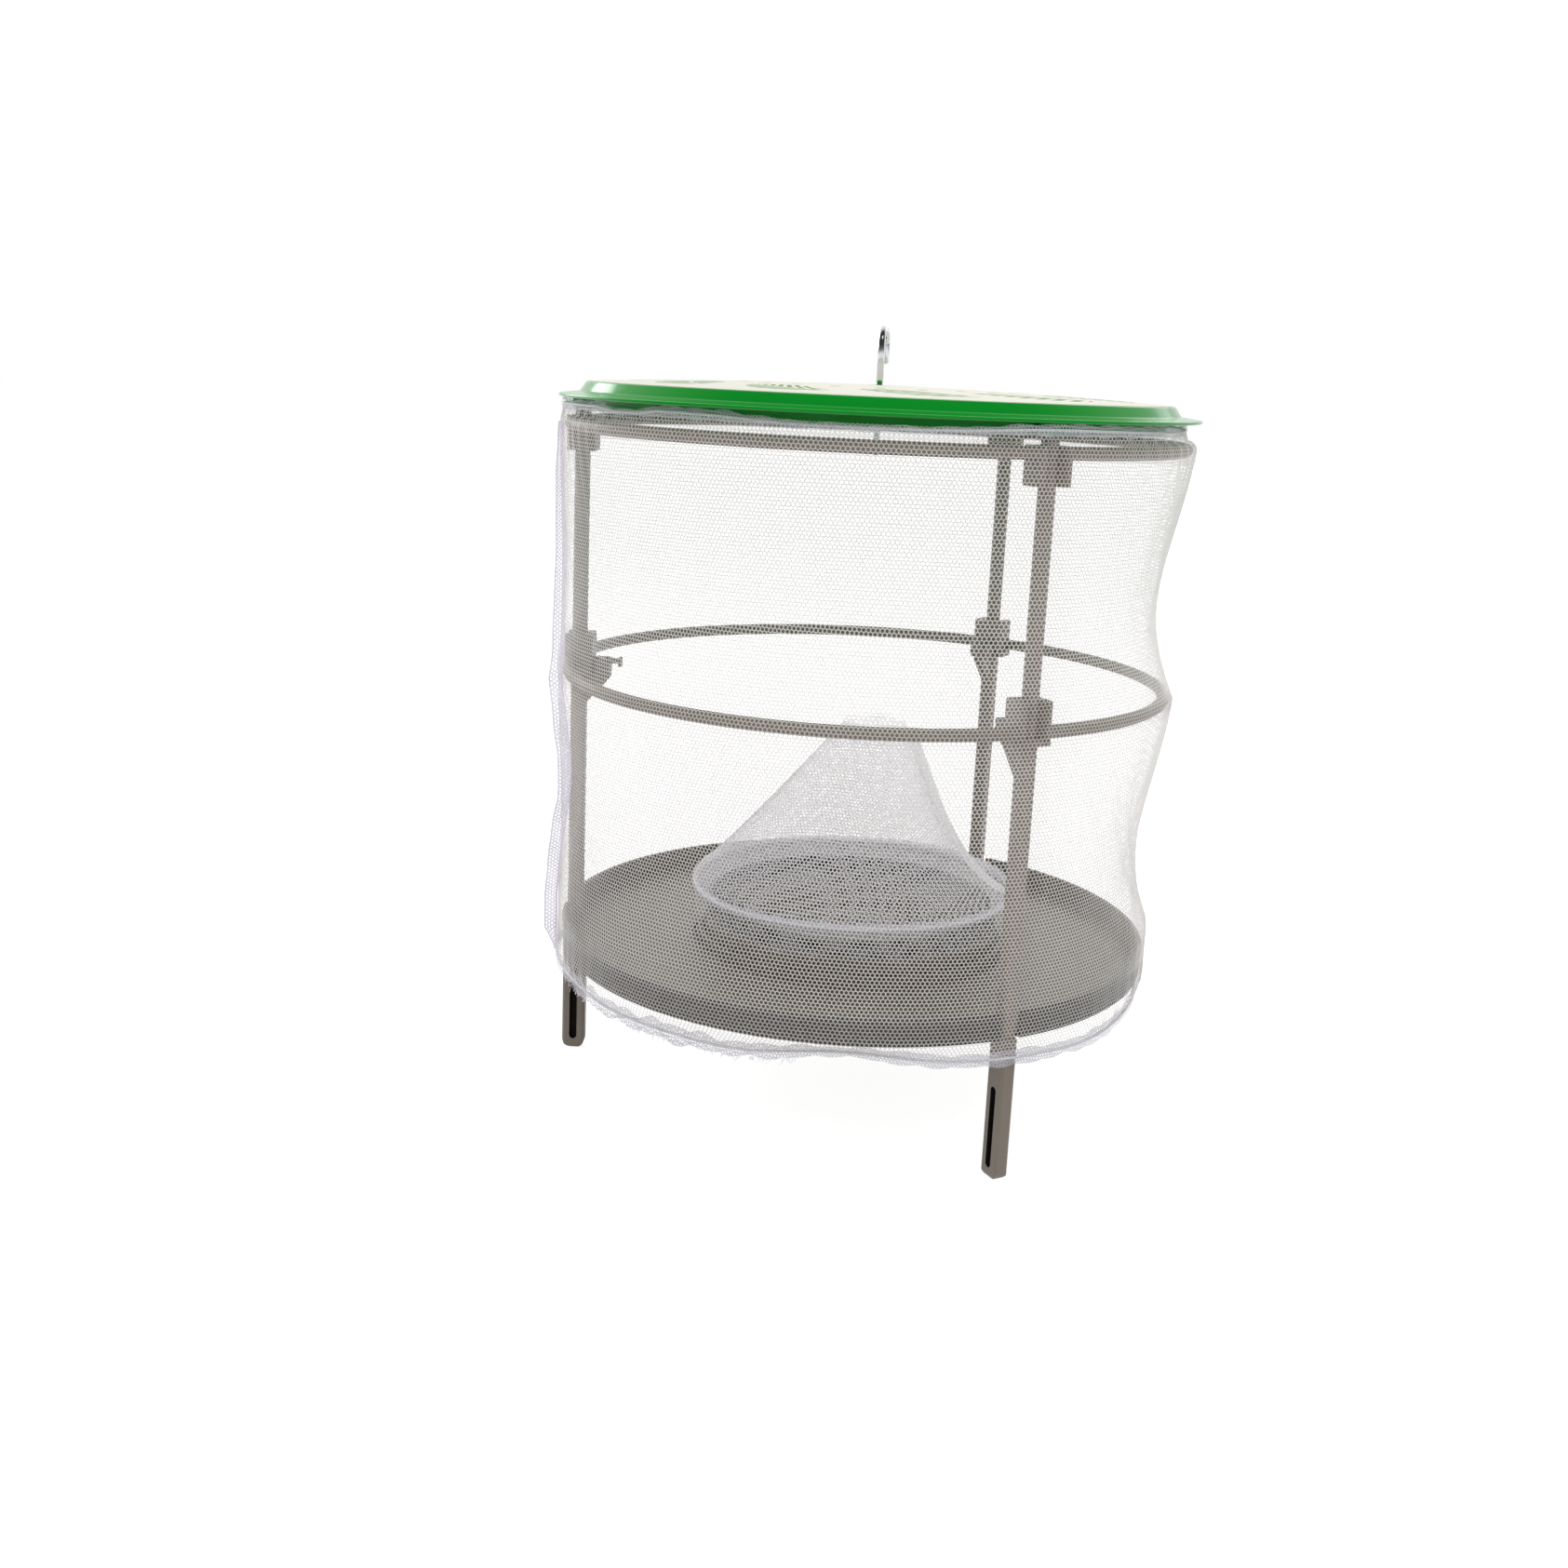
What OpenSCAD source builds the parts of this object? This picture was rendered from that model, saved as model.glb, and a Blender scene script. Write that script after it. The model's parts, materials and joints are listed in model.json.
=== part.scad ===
// Standing and hanging fly trap cage: a lid on three posts, two ring frames,
// a tray on three slotted feet, a bait cup, an inner net funnel and a net sleeve.
// Origin: centre of the foot circle, on the ground. +Z up, millimetres.

/* [Stand] */
// Clear height under the tray, which is the length of the feet
foot_h = 56; // [40:1:90]
// How far inside the lid's edge the axes of the three legs stand
post_inset = 8; // [7:0.5:12]
// Radial width of a foot
foot_w = 9.6; // [8:0.1:11]
// Depth of the flat under the round foot end
foot_flat = 0.25; // [0.1:0.05:0.6]
// Width of the long slot in a foot
slot_w = 3.2; // [1.5:0.1:3.5]
// Length of the long slot in a foot
slot_l = 32; // [20:1:34]
// Depth of the long slot in a foot
slot_depth = 2.4; // [1:0.1:2.4]
// Height of the slot's lower end above the ground
slot_z = 4.5; // [3:0.5:8]

/* [Legs and posts] */
// Radial width of a lower leg above the tray
leg_w = 6.2; // [5.6:0.1:7]
// Tangential thickness of a lower leg and its foot
leg_t = 6; // [5.6:0.1:7]
// Chamfer along the edges of the legs
leg_chamfer = 0.9; // [0.4:0.1:1.4]
// Diameter of an upper post
post_d = 6.2; // [5.6:0.1:7]
// Diameter of the spigot at a post's lower end
joint_d = 3.6; // [3:0.1:4]
// Length of the spigot at a post's lower end
joint_l = 8; // [5:0.5:12]
// Diameter of the spigot at a post's top end
cap_d = 4; // [3:0.1:4.6]
// Length of the spigot at a post's top end
cap_l = 4; // [3:0.1:5]
// Width of the shelf that carries the middle ring's block
shelf_w = 16; // [14:0.5:18]
// Thickness of the shelf
shelf_t = 2.5; // [1.5:0.1:4]
// How far the inner stop reaches inward of the post's axis
stop_reach = 13; // [10:0.5:16]
// Height of the inner stop above the shelf
stop_h = 3.4; // [2:0.1:5]
// Width of the inner stop
stop_w = 9; // [6:0.5:12]
// Thickness of the gusset web under the stop
web_t = 4; // [2:0.1:5]
// How far the gusset runs down the leg
gusset_h = 13; // [8:0.5:20]
// Length of the tie tab inside the stop
tab_l = 4.5; // [3:0.5:7]
// Thickness of the tie tab
tab_t = 1.8; // [1:0.1:2.5]
// Height of the small nibs on the tie tab
nib_h = 1.4; // [0.6:0.1:2]

/* [Ring frames] */
// How far a ring's centre line lies outside the axes of the legs
ring_offset = 3; // [2.4:0.1:4]
// Diameter of a ring's tube
ring_t = 4.8; // [4:0.1:5.6]
// Height of the middle ring's centre above the tray's underside
lower_span = 114; // [95:1:140]
// Height of the top ring's centre above the middle ring's
upper_span = 96; // [80:1:120]
// Tangential width of a ring's clip block
block_w = 13.4; // [12:0.1:15]
// Height of a ring's clip block
block_h = 13.6; // [11:0.1:18]
// Wall of the block behind the post
block_back = 2.9; // [2:0.1:4]
// Chamfer of the block's corners
block_chamfer = 1; // [0.3:0.1:1.5]
// Width of the clip's neck, narrower than the post that it snaps over
neck_w = 5.2; // [4.4:0.1:5.5]
// Width of the clip's flared mouth
mouth_w = 8.8; // [7:0.1:10]
// Clearance round a post in its clip and its sockets
fit_gap = 0.06; // [0.03:0.01:0.1]

/* [Tray] */
// How far the tray's rim reaches outside the axes of the legs
tray_offset = 4; // [3.5:0.1:5]
// Height of the tray's rim
tray_h = 10.5; // [8:0.5:18]
// Wall thickness of the tray
tray_wall = 1.8; // [1.2:0.1:2.6]
// Draft of the rim, top radius less bottom radius
tray_draft = 0.4; // [0:0.1:1]
// Clearance of a leg in its tray notch, each side
notch_gap = 0.2; // [0.1:0.05:0.4]
// Width of the tray from its rim's outside to the low step round the collar
floor_w = 56.5; // [46:0.5:62]
// Height of the low step above the tray floor
step_h = 4.2; // [3:0.1:8]
// Radial width of the low step
step_w = 4; // [3:0.1:6]
// Width and depth of the groove where the collar meets the step
groove = 1.2; // [0.6:0.1:1.6]
// Depth of the groove in the floor along the step's foot
floor_groove = 0.9; // [0.4:0.1:1]
// Height of the collar above the tray floor
collar_h = 17.7; // [12:0.1:24]
// Radial reach of the inner ledge that carries the bait cup
ledge_w = 2.5; // [1.5:0.1:4]
// Thickness of the inner ledge
ledge_t = 2; // [1.2:0.1:3]

/* [Bait cup] */
// Width of the gap that lets flies in between the cup's lip and the ledge
fly_gap = 6.2; // [5:0.1:8]
// Draft of the cup, top radius less bottom radius
cup_draft = 1.4; // [0:0.1:3]
// Wall thickness of the cup
cup_wall = 1.6; // [1:0.1:2.4]
// Depth of the cup below its carrying arms
cup_below = 6; // [4:0.5:8]
// Height of the cup's rim above its carrying arms
cup_above = 9; // [6:0.5:12]
// Reach of the turned lip round the cup's rim
cup_lip = 1; // [0.5:0.1:1.5]
// Width of a carrying arm
arm_w = 8; // [5:0.5:12]
// Thickness of a carrying arm
arm_t = 2; // [1.2:0.1:3]
// Radial play of the arms inside the collar
arm_gap = 1; // [0.5:0.1:1.4]
// Gap between the cup's arms and the tray
seat_gap = 0.1; // [0.05:0.05:0.3]

/* [Lid] */
// Diameter of the lid
lid_d = 250; // [240:1:270]
// Height of the lid's underside above the top ring's centre
lid_rise = 10; // [9.5:0.1:12]
// Thickness of the lid's lip at its edge
lip_t = 1.2; // [0.8:0.1:2]
// Width of the lid's nearly flat lip
lip_w = 8; // [5:0.5:9]
// Rise of the lip from its edge to the foot of the step
lip_rise = 1; // [0.5:0.1:2]
// Height of the lid's plate edge above its underside
plate_h = 6; // [4:0.5:10]
// Radial run of the sloping step between lip and plate
step_run = 2.6; // [1:0.1:4]
// Crown of the plate at its centre
crown_h = 3; // [0.5:0.1:4]
// Thickness of the plate
plate_t = 2; // [1.2:0.1:3]
// How far inside the lid's edge the skirt hangs
skirt_inset = 13; // [12.5:0.5:16]
// Thickness of the skirt
skirt_t = 1.8; // [1.2:0.1:2.4]
// Drop of the skirt below the lid's underside
skirt_drop = 4.6; // [3:0.1:4.8]
// Outer diameter of the sockets over the posts
socket_d = 8.6; // [7:0.1:9]
// Drop of the sockets below the lid's underside
socket_drop = 4.8; // [3:0.1:4.9]

/* [Hook] */
// Diameter of the hook's wire
wire_d = 2.8; // [2:0.1:3.4]
// Radius of the hook's bend, on the wire's centre line
bend_r = 5.5; // [4:0.1:9]
// Height of the hook's top above the lid's plate edge
hook_rise = 26; // [18:1:40]
// Length of the hook's free end below the bend's centre
tip_l = 6.5; // [3:0.5:10]
// Length of the shank below the lid's underside
shank_drop = 18; // [10:1:25]
// Direction of the hook's free end, in degrees from +X
hook_turn = 80; // [0:1:359]
// Running clearance of the shank in the lid's boss
shank_gap = 0.08; // [0.03:0.01:0.1]
// Outer diameter of the boss under the lid's centre
boss_d = 9; // [7:0.1:12]
// Outer diameter of the washer
washer_d = 8; // [6:0.1:10]
// Thickness of the washer
washer_t = 0.8; // [0.5:0.1:1.2]
// Width of the nut across its flats
nut_af = 5.5; // [4.5:0.1:7]
// Height of the nut
nut_h = 2.4; // [1.6:0.1:3.2]
// Running clearance under the boss
boss_gap = 0.2; // [0.1:0.05:0.4]

/* [Net sleeve] */
// Thickness of the net's solid
net_t = 0.7; // [0.5:0.1:1]
// Gap between the net and the frame that it lies over
net_gap = 0.9; // [0.8:0.1:1.2]
// Extra clearance of the net where it passes a clip block
block_pass = 0.4; // [0.3:0.1:0.8]
// How far the net is drawn in between the posts of the upper span
waist_upper = 9.5; // [3:0.5:12]
// How far the net is drawn in between the posts of the lower span
waist_lower = 8.5; // [3:0.5:12]
// Skew of the waist towards the lower end of its span
sag_skew = 1.45; // [1:0.05:1.8]
// Flatness of the net between two posts
bay_flat = 0.6; // [0.5:0.05:1]
// Openings of the plain grid round the sleeve, which stands for the knitted mesh
grid_around = 24; // [18:6:36]
// Rows of openings in the upper span
grid_upper = 3; // [3:1:5]
// Rows of openings in the lower span
grid_lower = 4; // [4:1:6]
// Width of the bars between two openings of the sleeve
grid_bar = 2.6; // [2:0.1:4]
// Height of the top hem
top_hem_h = 4.4; // [3:0.1:4.6]
// How far the top hem is drawn in between two posts
top_draw = 5.4; // [2:0.1:6]
// Height of the bottom hem
low_hem_h = 6; // [4:0.5:10]
// Drop of the bottom hem's upper edge below the tray
low_hem_drop = 3.4; // [3:0.1:6]
// How far the bottom hem is drawn in between two posts
low_draw = 4.4; // [1:0.1:6]
// Thickness of the hems
hem_t = 2; // [1.6:0.1:2.4]
// Diameter of the elastic cords in the hems
elastic_d = 1; // [0.8:0.1:1.2]
// Gap between two pieces of cloth that meet
cloth_gap = 0.3; // [0.2:0.05:0.5]
// Direction of the sleeve's seam, in degrees from +X
seam_angle = 196; // [150:1:210]
// How far the seam wanders to either side of that, in degrees
seam_drift = 6.5; // [0:0.5:8]
// Length over which the seam wanders to both sides and back
seam_drift_l = 155; // [80:5:200]
// The seam is furthest to the front at that length over this, below the middle ring
seam_drift_lead = 7; // [2:1:12]
// How far the seam's loose edge stands out below the middle ring
seam_w = 5; // [2:0.1:6]
// Share of that width that is left at the seam's top
seam_taper = 0.3; // [0.2:0.1:1]
// Thickness of the seam's loose edge
seam_t = 0.9; // [0.6:0.1:1.4]
// Sideways wave of the seam's loose edge
seam_wave = 1.1; // [0:0.1:2]
// Number of waves down the seam
seam_waves = 5; // [2:1:9]

/* [Net funnel] */
// How far the hoop's centre line stands outside the collar
hoop_offset = 5.5; // [3:0.1:8]
// Diameter of the hoop's wire
hoop_d = 1.8; // [1.2:0.1:2]
// Height of the hoop above the collar's top
hoop_rise = 6; // [5:0.5:10]
// Height of the band that holds the hoop
band_h = 5; // [4:0.1:7]
// Thickness of the band that holds the hoop
band_t = 2.8; // [2.4:0.1:3.2]
// Height of the funnel from band to mouth
funnel_h = 65; // [45:1:85]
// Radius of the funnel's mouth
mouth_r = 13.4; // [10:0.2:18]
// Sideways lean of the mouth towards +X
lean = 5.5; // [0:0.5:8]
// Drawn-in depth of the funnel all round
funnel_sag = 2; // [0:0.5:4]
// Further drawn-in depth on the +X side
side_sag = 9; // [0:0.5:10]
// Narrowness of the drawn-in side
side_focus = 1.5; // [1:0.1:3]
// Skew of the drawn-in depth: under 1 it is deepest nearer the band
funnel_skew = 0.55; // [0.4:0.05:1]
// Openings of the plain grid round the funnel and its skirt
funnel_around = 16; // [14:1:20]
// Rows of openings up the funnel
funnel_rows = 4; // [4:1:6]
// Width of the bars at the funnel's foot
funnel_bar = 3.2; // [2:0.1:4]
// Height of the mouth's hem
mouth_hem_h = 2.6; // [2:0.1:5]
// Length of the skirt that hangs outside the collar
apron_l = 12; // [6:0.5:13]
// Width of the funnel's seam tape
tape_w = 3.6; // [2:0.1:5]
// Direction of the funnel's seam tape, in degrees from +X
tape_angle = -14; // [-60:1:60]

/* [Hidden] */
$fn = 96;

eps = 0.01;
leg_angles = [180, -60, 60];
arm_angles = [30, 150, 270];

plastic = "#a79e92";
lid_green = "#12a035";
steel = "#c9ccd0";
net_white = "#f2f3f5";
tape_white = "#fbfbfb";

post_r = lid_d / 2 - post_inset;
ring_r = post_r + ring_offset;
ring_out = ring_r + ring_t / 2;
tray_r = post_r + tray_offset;
mid_z = foot_h + lower_span;
top_z = mid_z + upper_span;
lid_z = top_z + lid_rise;
shelf_z = mid_z - ring_t / 2;
post_top = lid_z - socket_drop;
floor_z = foot_h + tray_wall;
rim_z = foot_h + tray_h;
step_r = tray_r - floor_w;
collar_r = step_r - step_w;
collar_in = collar_r - tray_wall;
ledge_in = collar_in - ledge_w;
cup_r = ledge_in - fly_gap - cup_lip;
hoop_r = collar_r + hoop_offset;
collar_z = floor_z + collar_h;
ledge_z = floor_z + ledge_t;
arm_z = ledge_z + seat_gap;
cup_bottom = arm_z - cup_below;
cup_top = arm_z + cup_above;
plate_r = lid_d / 2 - lip_w - step_run;
plate_z = lid_z + plate_h;
shank_r = wire_d / 2;
bend_z = plate_z + hook_rise - shank_r - bend_r;
washer_z = lid_z - boss_gap - washer_t;

// ---- helpers ----

// Places its children on each leg's axis, with local +X pointing outward
module at_legs(angles = leg_angles) {
    for (a = angles) rotate([0, 0, a]) translate([post_r, 0, 0]) children();
}

// Upright prism from x0 to x1, w wide, with chamfered corners
module chamfer_prism(x0, x1, w, h, c) {
    y = w / 2;
    linear_extrude(height = h)
        polygon([[x0 + c, -y], [x1 - c, -y], [x1, -y + c], [x1, y - c],
                 [x1 - c, y], [x0 + c, y], [x0, y - c], [x0, -y + c]]);
}

// Extrudes an outline drawn in the radial (x) and upward (y) directions, w thick
module radial_profile(w) {
    translate([0, w / 2, 0]) rotate([90, 0, 0]) linear_extrude(height = w) children();
}

// Closed solid swept round the axis from a ring of sections, each a loop of points
module ring_solid(sections) {
    n = len(sections);
    m = len(sections[0]);
    polyhedron(
        points = [for (s = sections) for (p = s) p],
        faces = [for (i = [0 : n - 1]) for (j = [0 : m - 1])
            let (a = i * m + j, b = i * m + (j + 1) % m,
                 c = ((i + 1) % n) * m + (j + 1) % m, d = ((i + 1) % n) * m + j)
            each [[a, b, c], [a, c, d]]]);
}

// Closed solid swept along a row of sections, each a loop of points, with flat ends
module strip_solid(sections) {
    n = len(sections);
    m = len(sections[0]);
    polyhedron(
        points = [for (s = sections) for (p = s) p],
        faces = concat(
            [[for (j = [m - 1 : -1 : 0]) j]],
            [for (i = [0 : n - 2]) for (j = [0 : m - 1])
                let (a = i * m + j, b = i * m + (j + 1) % m,
                     c = (i + 1) * m + (j + 1) % m, d = (i + 1) * m + j)
                each [[a, b, c], [a, c, d]]],
            [[for (j = [0 : m - 1]) (n - 1) * m + j]]));
}

// Directions of a grid's columns: both edges of each bar, and the middle of each opening
function grid_angles(count, bar_angle, start) = [for (i = [0 : count - 1])
    each [for (turn = [-bar_angle / 2, bar_angle / 2, 180 / count]) start + 360 * i / count + turn]];

// Share along a span of n openings at which its edge number k lies; b is half a bar's share.
// The opening starts at an odd edge.
function edge_share(k, n, b) = k == 0 ? 0 : floor(k / 2) / n + (k % 2 == 1 ? b : -b);

// Closed thin wall round the axis with a plain grid of openings. outer and inner hold, for each
// of the directions of grid_angles, points from top to bottom. open_rows tells which rows open.
module grid_wall(outer, inner, open_rows) {
    n = len(outer);
    m = len(outer[0]);
    function out_at(i, k) = (i % n) * m + k;
    function in_at(i, k) = (n + i % n) * m + k;
    function opens(i, k) = k >= 0 && k < m - 1 && (i + n) % 3 != 0 && open_rows[k];
    cells = [for (i = [0 : n - 1]) for (k = [0 : m - 2]) if (!opens(i, k)) [i, k]];
    holes = [for (i = [0 : n - 1]) for (k = [0 : m - 2]) if (opens(i, k)) [i, k]];
    quads = concat(
        [for (c = cells) let (i = c[0], k = c[1])
            [out_at(i, k + 1), out_at(i, k), out_at(i + 1, k), out_at(i + 1, k + 1)]],
        [for (c = cells) let (i = c[0], k = c[1])
            [in_at(i, k), in_at(i, k + 1), in_at(i + 1, k + 1), in_at(i + 1, k)]],
        [for (c = cells) let (i = c[0], k = c[1]) if (k == 0 || opens(i, k - 1))
            [out_at(i, k), in_at(i, k), in_at(i + 1, k), out_at(i + 1, k)]],
        [for (c = cells) let (i = c[0], k = c[1]) if (k == m - 2 || opens(i, k + 1))
            [in_at(i, k + 1), out_at(i, k + 1), out_at(i + 1, k + 1), in_at(i + 1, k + 1)]],
        [for (h = holes) let (i = h[0], k = h[1]) if (!opens(i - 1, k))
            [out_at(i, k + 1), out_at(i, k), in_at(i, k), in_at(i, k + 1)]],
        [for (h = holes) let (i = h[0], k = h[1]) if (!opens(i + 1, k))
            [out_at(i + 1, k), out_at(i + 1, k + 1), in_at(i + 1, k + 1), in_at(i + 1, k)]]);
    polyhedron(
        points = [for (column = concat(outer, inner)) each column],
        faces = [for (f = quads) each [[f[0], f[1], f[2]], [f[0], f[2], f[3]]]]);
}

function mix(a, b, t) = a + (b - a) * t;
function polar(r, a, z) = [r * cos(a), r * sin(a), z];

// ---- lid and hook ----

function crown(r) = crown_h * (1 - pow(r / plate_r, 2));

module lid() {
    crown_steps = 8;
    rs = [for (i = [0 : crown_steps]) plate_r * i / crown_steps];
    skirt_r = lid_d / 2 - skirt_inset;
    under_r = skirt_r - skirt_t;
    color(lid_green) difference() {
        union() {
            rotate_extrude() polygon(concat(
                [for (r = rs) [r, plate_z + crown(r)]],
                [[plate_r + step_run, lid_z + lip_t + lip_rise],
                 [lid_d / 2, lid_z + lip_t],
                 [lid_d / 2, lid_z],
                 [skirt_r, lid_z],
                 [skirt_r, lid_z - skirt_drop],
                 [under_r, lid_z - skirt_drop],
                 [under_r, plate_z - plate_t]],
                [for (i = [crown_steps - 1 : -1 : 0]) [rs[i], plate_z - plate_t + crown(rs[i])]]));
            translate([0, 0, lid_z]) cylinder(d = boss_d, h = plate_h + crown_h - plate_t / 2);
            at_legs() translate([0, 0, lid_z - socket_drop])
                cylinder(d = socket_d, h = socket_drop + lip_t / 2);
        }
        translate([0, 0, lid_z - eps]) cylinder(r = shank_r + shank_gap, h = plate_h + 2 * crown_h);
        at_legs() translate([0, 0, lid_z - socket_drop - eps])
            cylinder(d = cap_d + 2 * fit_gap, h = cap_l + fit_gap + eps);
    }
}

module hanging_hook() {
    shank_z = lid_z - shank_drop;
    color(steel) rotate([0, 0, hook_turn]) {
        translate([0, 0, shank_z]) cylinder(r = shank_r, h = bend_z - shank_z);
        translate([bend_r, 0, bend_z]) rotate([90, 0, 0])
            rotate_extrude(angle = 180) translate([bend_r, 0]) circle(r = shank_r);
        translate([2 * bend_r, 0, bend_z - tip_l]) cylinder(r = shank_r, h = tip_l);
        translate([2 * bend_r, 0, bend_z - tip_l]) sphere(r = shank_r);
    }
}

module hook_washer() {
    color(steel) translate([0, 0, washer_z]) difference() {
        cylinder(d = washer_d, h = washer_t);
        translate([0, 0, -eps]) cylinder(r = shank_r + fit_gap, h = washer_t + 2 * eps);
    }
}

module hook_nut() {
    color(steel) translate([0, 0, washer_z - nut_h]) difference() {
        cylinder(d = nut_af / cos(30), h = nut_h, $fn = 6);
        translate([0, 0, -eps]) cylinder(r = shank_r + fit_gap, h = nut_h + 2 * eps);
    }
}

// ---- ring frames ----

// A hoop with three clip blocks that rise from its lower edge
module ring_frame() {
    block_out = ring_out - post_r;
    block_in = -(post_d / 2 + block_back);
    bore = post_d + 2 * fit_gap;
    color(plastic) difference() {
        union() {
            rotate_extrude() translate([ring_r, 0]) circle(d = ring_t);
            at_legs() translate([0, 0, -ring_t / 2])
                chamfer_prism(block_in, block_out, block_w, block_h, block_chamfer);
        }
        at_legs() translate([0, 0, -ring_t / 2 - eps]) linear_extrude(height = block_h + 2 * eps) {
            circle(d = bore);
            translate([0, -neck_w / 2]) square([block_out + ring_t, neck_w]);
            polygon([[bore / 4, -neck_w / 2], [block_out + eps, -mouth_w / 2],
                     [block_out + ring_t, -mouth_w / 2], [block_out + ring_t, mouth_w / 2],
                     [block_out + eps, mouth_w / 2], [bore / 4, neck_w / 2]]);
        }
    }
}

module middle_ring() {
    translate([0, 0, mid_z]) ring_frame();
}

module top_ring() {
    translate([0, 0, top_z]) mirror([0, 0, 1]) ring_frame();
}

// ---- posts and legs ----

module upper_post(a) {
    color(plastic) at_legs([a]) {
        translate([0, 0, shelf_z]) cylinder(d = post_d, h = post_top - shelf_z);
        translate([0, 0, shelf_z - joint_l]) cylinder(d = joint_d, h = joint_l + eps);
        translate([0, 0, post_top - eps]) cylinder(d = cap_d, h = cap_l + eps);
    }
}

module foot_slot() {
    low = slot_z + slot_w / 2;
    high = slot_z + slot_l - slot_w / 2;
    translate([0, low]) circle(d = slot_w);
    translate([0, high]) circle(d = slot_w);
    translate([-slot_w / 2, low]) square([slot_w, high - low]);
}

// Outline of a foot, w wide, with a round lower end cut flat on the ground
module foot_outline(w) {
    difference() {
        union() {
            translate([0, w / 2 - foot_flat]) circle(d = w);
            translate([-w / 2, w / 2 - foot_flat]) square([w, foot_h]);
        }
        translate([-w, -w]) square([2 * w, w]);
    }
}

// A foot is round in both directions at its lower end, with a slot in each side
module foot() {
    difference() {
        intersection() {
            chamfer_prism(-foot_w / 2, foot_w / 2, leg_t, foot_h, leg_chamfer);
            radial_profile(leg_t) foot_outline(foot_w);
            rotate([0, 0, 90]) radial_profile(foot_w) foot_outline(leg_t);
        }
        for (side = [-1, 1]) translate([0, side * (leg_t - slot_depth + eps) / 2, 0])
            radial_profile(slot_depth + eps) foot_slot();
    }
}

// Shelf, inner stop, gusset and tie tab at the top of a lower leg
module leg_head() {
    stop_x = -(post_d / 2 + block_back + cloth_gap);
    tip_x = -stop_reach - tab_l;
    top = shelf_z + stop_h;
    low = shelf_z - shelf_t;
    translate([0, 0, low])
        chamfer_prism(-post_d / 2 - block_back, leg_w / 2 + leg_chamfer, shelf_w, shelf_t, block_chamfer);
    translate([0, 0, low])
        chamfer_prism(-stop_reach, stop_x, stop_w, stop_h + shelf_t, leg_chamfer);
    radial_profile(web_t) polygon([[0, low + eps], [-stop_reach, low + eps],
        [-stop_reach, low - tab_t], [-leg_w / 2, low - gusset_h], [0, low - gusset_h]]);
    translate([tip_x, -web_t / 2, top - tab_t]) cube([tab_l + leg_chamfer, web_t, tab_t]);
    for (x = [tip_x + nib_h / 2, -stop_reach + nib_h, stop_x - nib_h])
        translate([x, web_t / 2, top - eps]) rotate([90, 0, 0]) cylinder(r = nib_h / 2, h = web_t);
    translate([tip_x, -web_t / 2, top - tab_t - nib_h]) cube([nib_h, web_t, nib_h + eps]);
}

module lower_leg(a) {
    color(plastic) at_legs([a]) difference() {
        union() {
            foot();
            translate([0, 0, foot_h - eps])
                chamfer_prism(-leg_w / 2, leg_w / 2, leg_t, shelf_z - foot_h + eps, leg_chamfer);
            leg_head();
        }
        translate([0, 0, shelf_z - joint_l - fit_gap])
            cylinder(d = joint_d + 2 * fit_gap, h = joint_l + fit_gap + eps);
    }
}

// ---- tray and bait cup ----

module tray() {
    notch_in = leg_w / 2 + notch_gap;
    notch_w = leg_t + 2 * notch_gap;
    wall_in = tray_r - tray_wall;
    mouth_x = tray_r - post_r + eps;
    color(plastic) difference() {
        rotate_extrude() polygon([
            [ledge_in, foot_h], [tray_r - tray_draft, foot_h], [tray_r, rim_z],
            [wall_in, rim_z], [wall_in - tray_draft, floor_z], [step_r + groove, floor_z],
            [step_r + groove, floor_z - floor_groove], [step_r, floor_z - floor_groove],
            [step_r, floor_z + step_h], [collar_r + groove, floor_z + step_h],
            [collar_r + groove, floor_z + step_h - groove], [collar_r, floor_z + step_h - groove],
            [collar_r, collar_z], [collar_in, collar_z], [collar_in, ledge_z],
            [ledge_in, ledge_z]]);
        at_legs() translate([0, 0, foot_h - eps]) linear_extrude(height = tray_h + 2 * eps) {
            translate([-notch_in, -notch_w / 2]) square([notch_in + tray_wall, notch_w]);
            polygon([[0, -notch_w / 2], [mouth_x, -mouth_w / 2],
                     [mouth_x, mouth_w / 2], [0, notch_w / 2]]);
        }
    }
}

module bait_cup() {
    foot_r = cup_r - cup_draft;
    arm_root = cup_r - cup_wall;
    arm_tip = sqrt(pow(collar_in - arm_gap, 2) - pow(arm_w / 2, 2));
    color(plastic) {
        rotate_extrude() polygon([
            [0, cup_bottom], [foot_r, cup_bottom], [cup_r, cup_top - cup_wall],
            [cup_r + cup_lip, cup_top - cup_wall], [cup_r + cup_lip, cup_top],
            [cup_r - cup_wall, cup_top], [foot_r - cup_wall, cup_bottom + cup_wall],
            [0, cup_bottom + cup_wall]]);
        for (a = arm_angles) rotate([0, 0, a]) translate([arm_root, -arm_w / 2, arm_z])
            cube([arm_tip - arm_root, arm_w, arm_t]);
    }
}

// ---- net funnel ----

band_low = collar_z + hoop_rise - band_h / 2;
band_top = band_low + band_h;
band_out = hoop_r + band_t / 2;
band_in = hoop_r - band_t / 2;
funnel_low = band_top + cloth_gap;
funnel_top = funnel_low + funnel_h;
slant = norm([hoop_r - mouth_r, funnel_h]);
funnel_edges = 2 * funnel_rows + 1;

// Radius and centre of the funnel at a share t of its height, in direction a
function funnel_r(t, a) = mix(hoop_r, mouth_r, t)
    - (funnel_sag + side_sag * pow((1 + cos(a)) / 2, side_focus)) * sin(180 * pow(t, funnel_skew));
function funnel_point(t, a, out) =
    let (r = funnel_r(t, a) + out)
    [lean * t + r * cos(a), r * sin(a), mix(funnel_low, funnel_top, t)];

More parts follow.
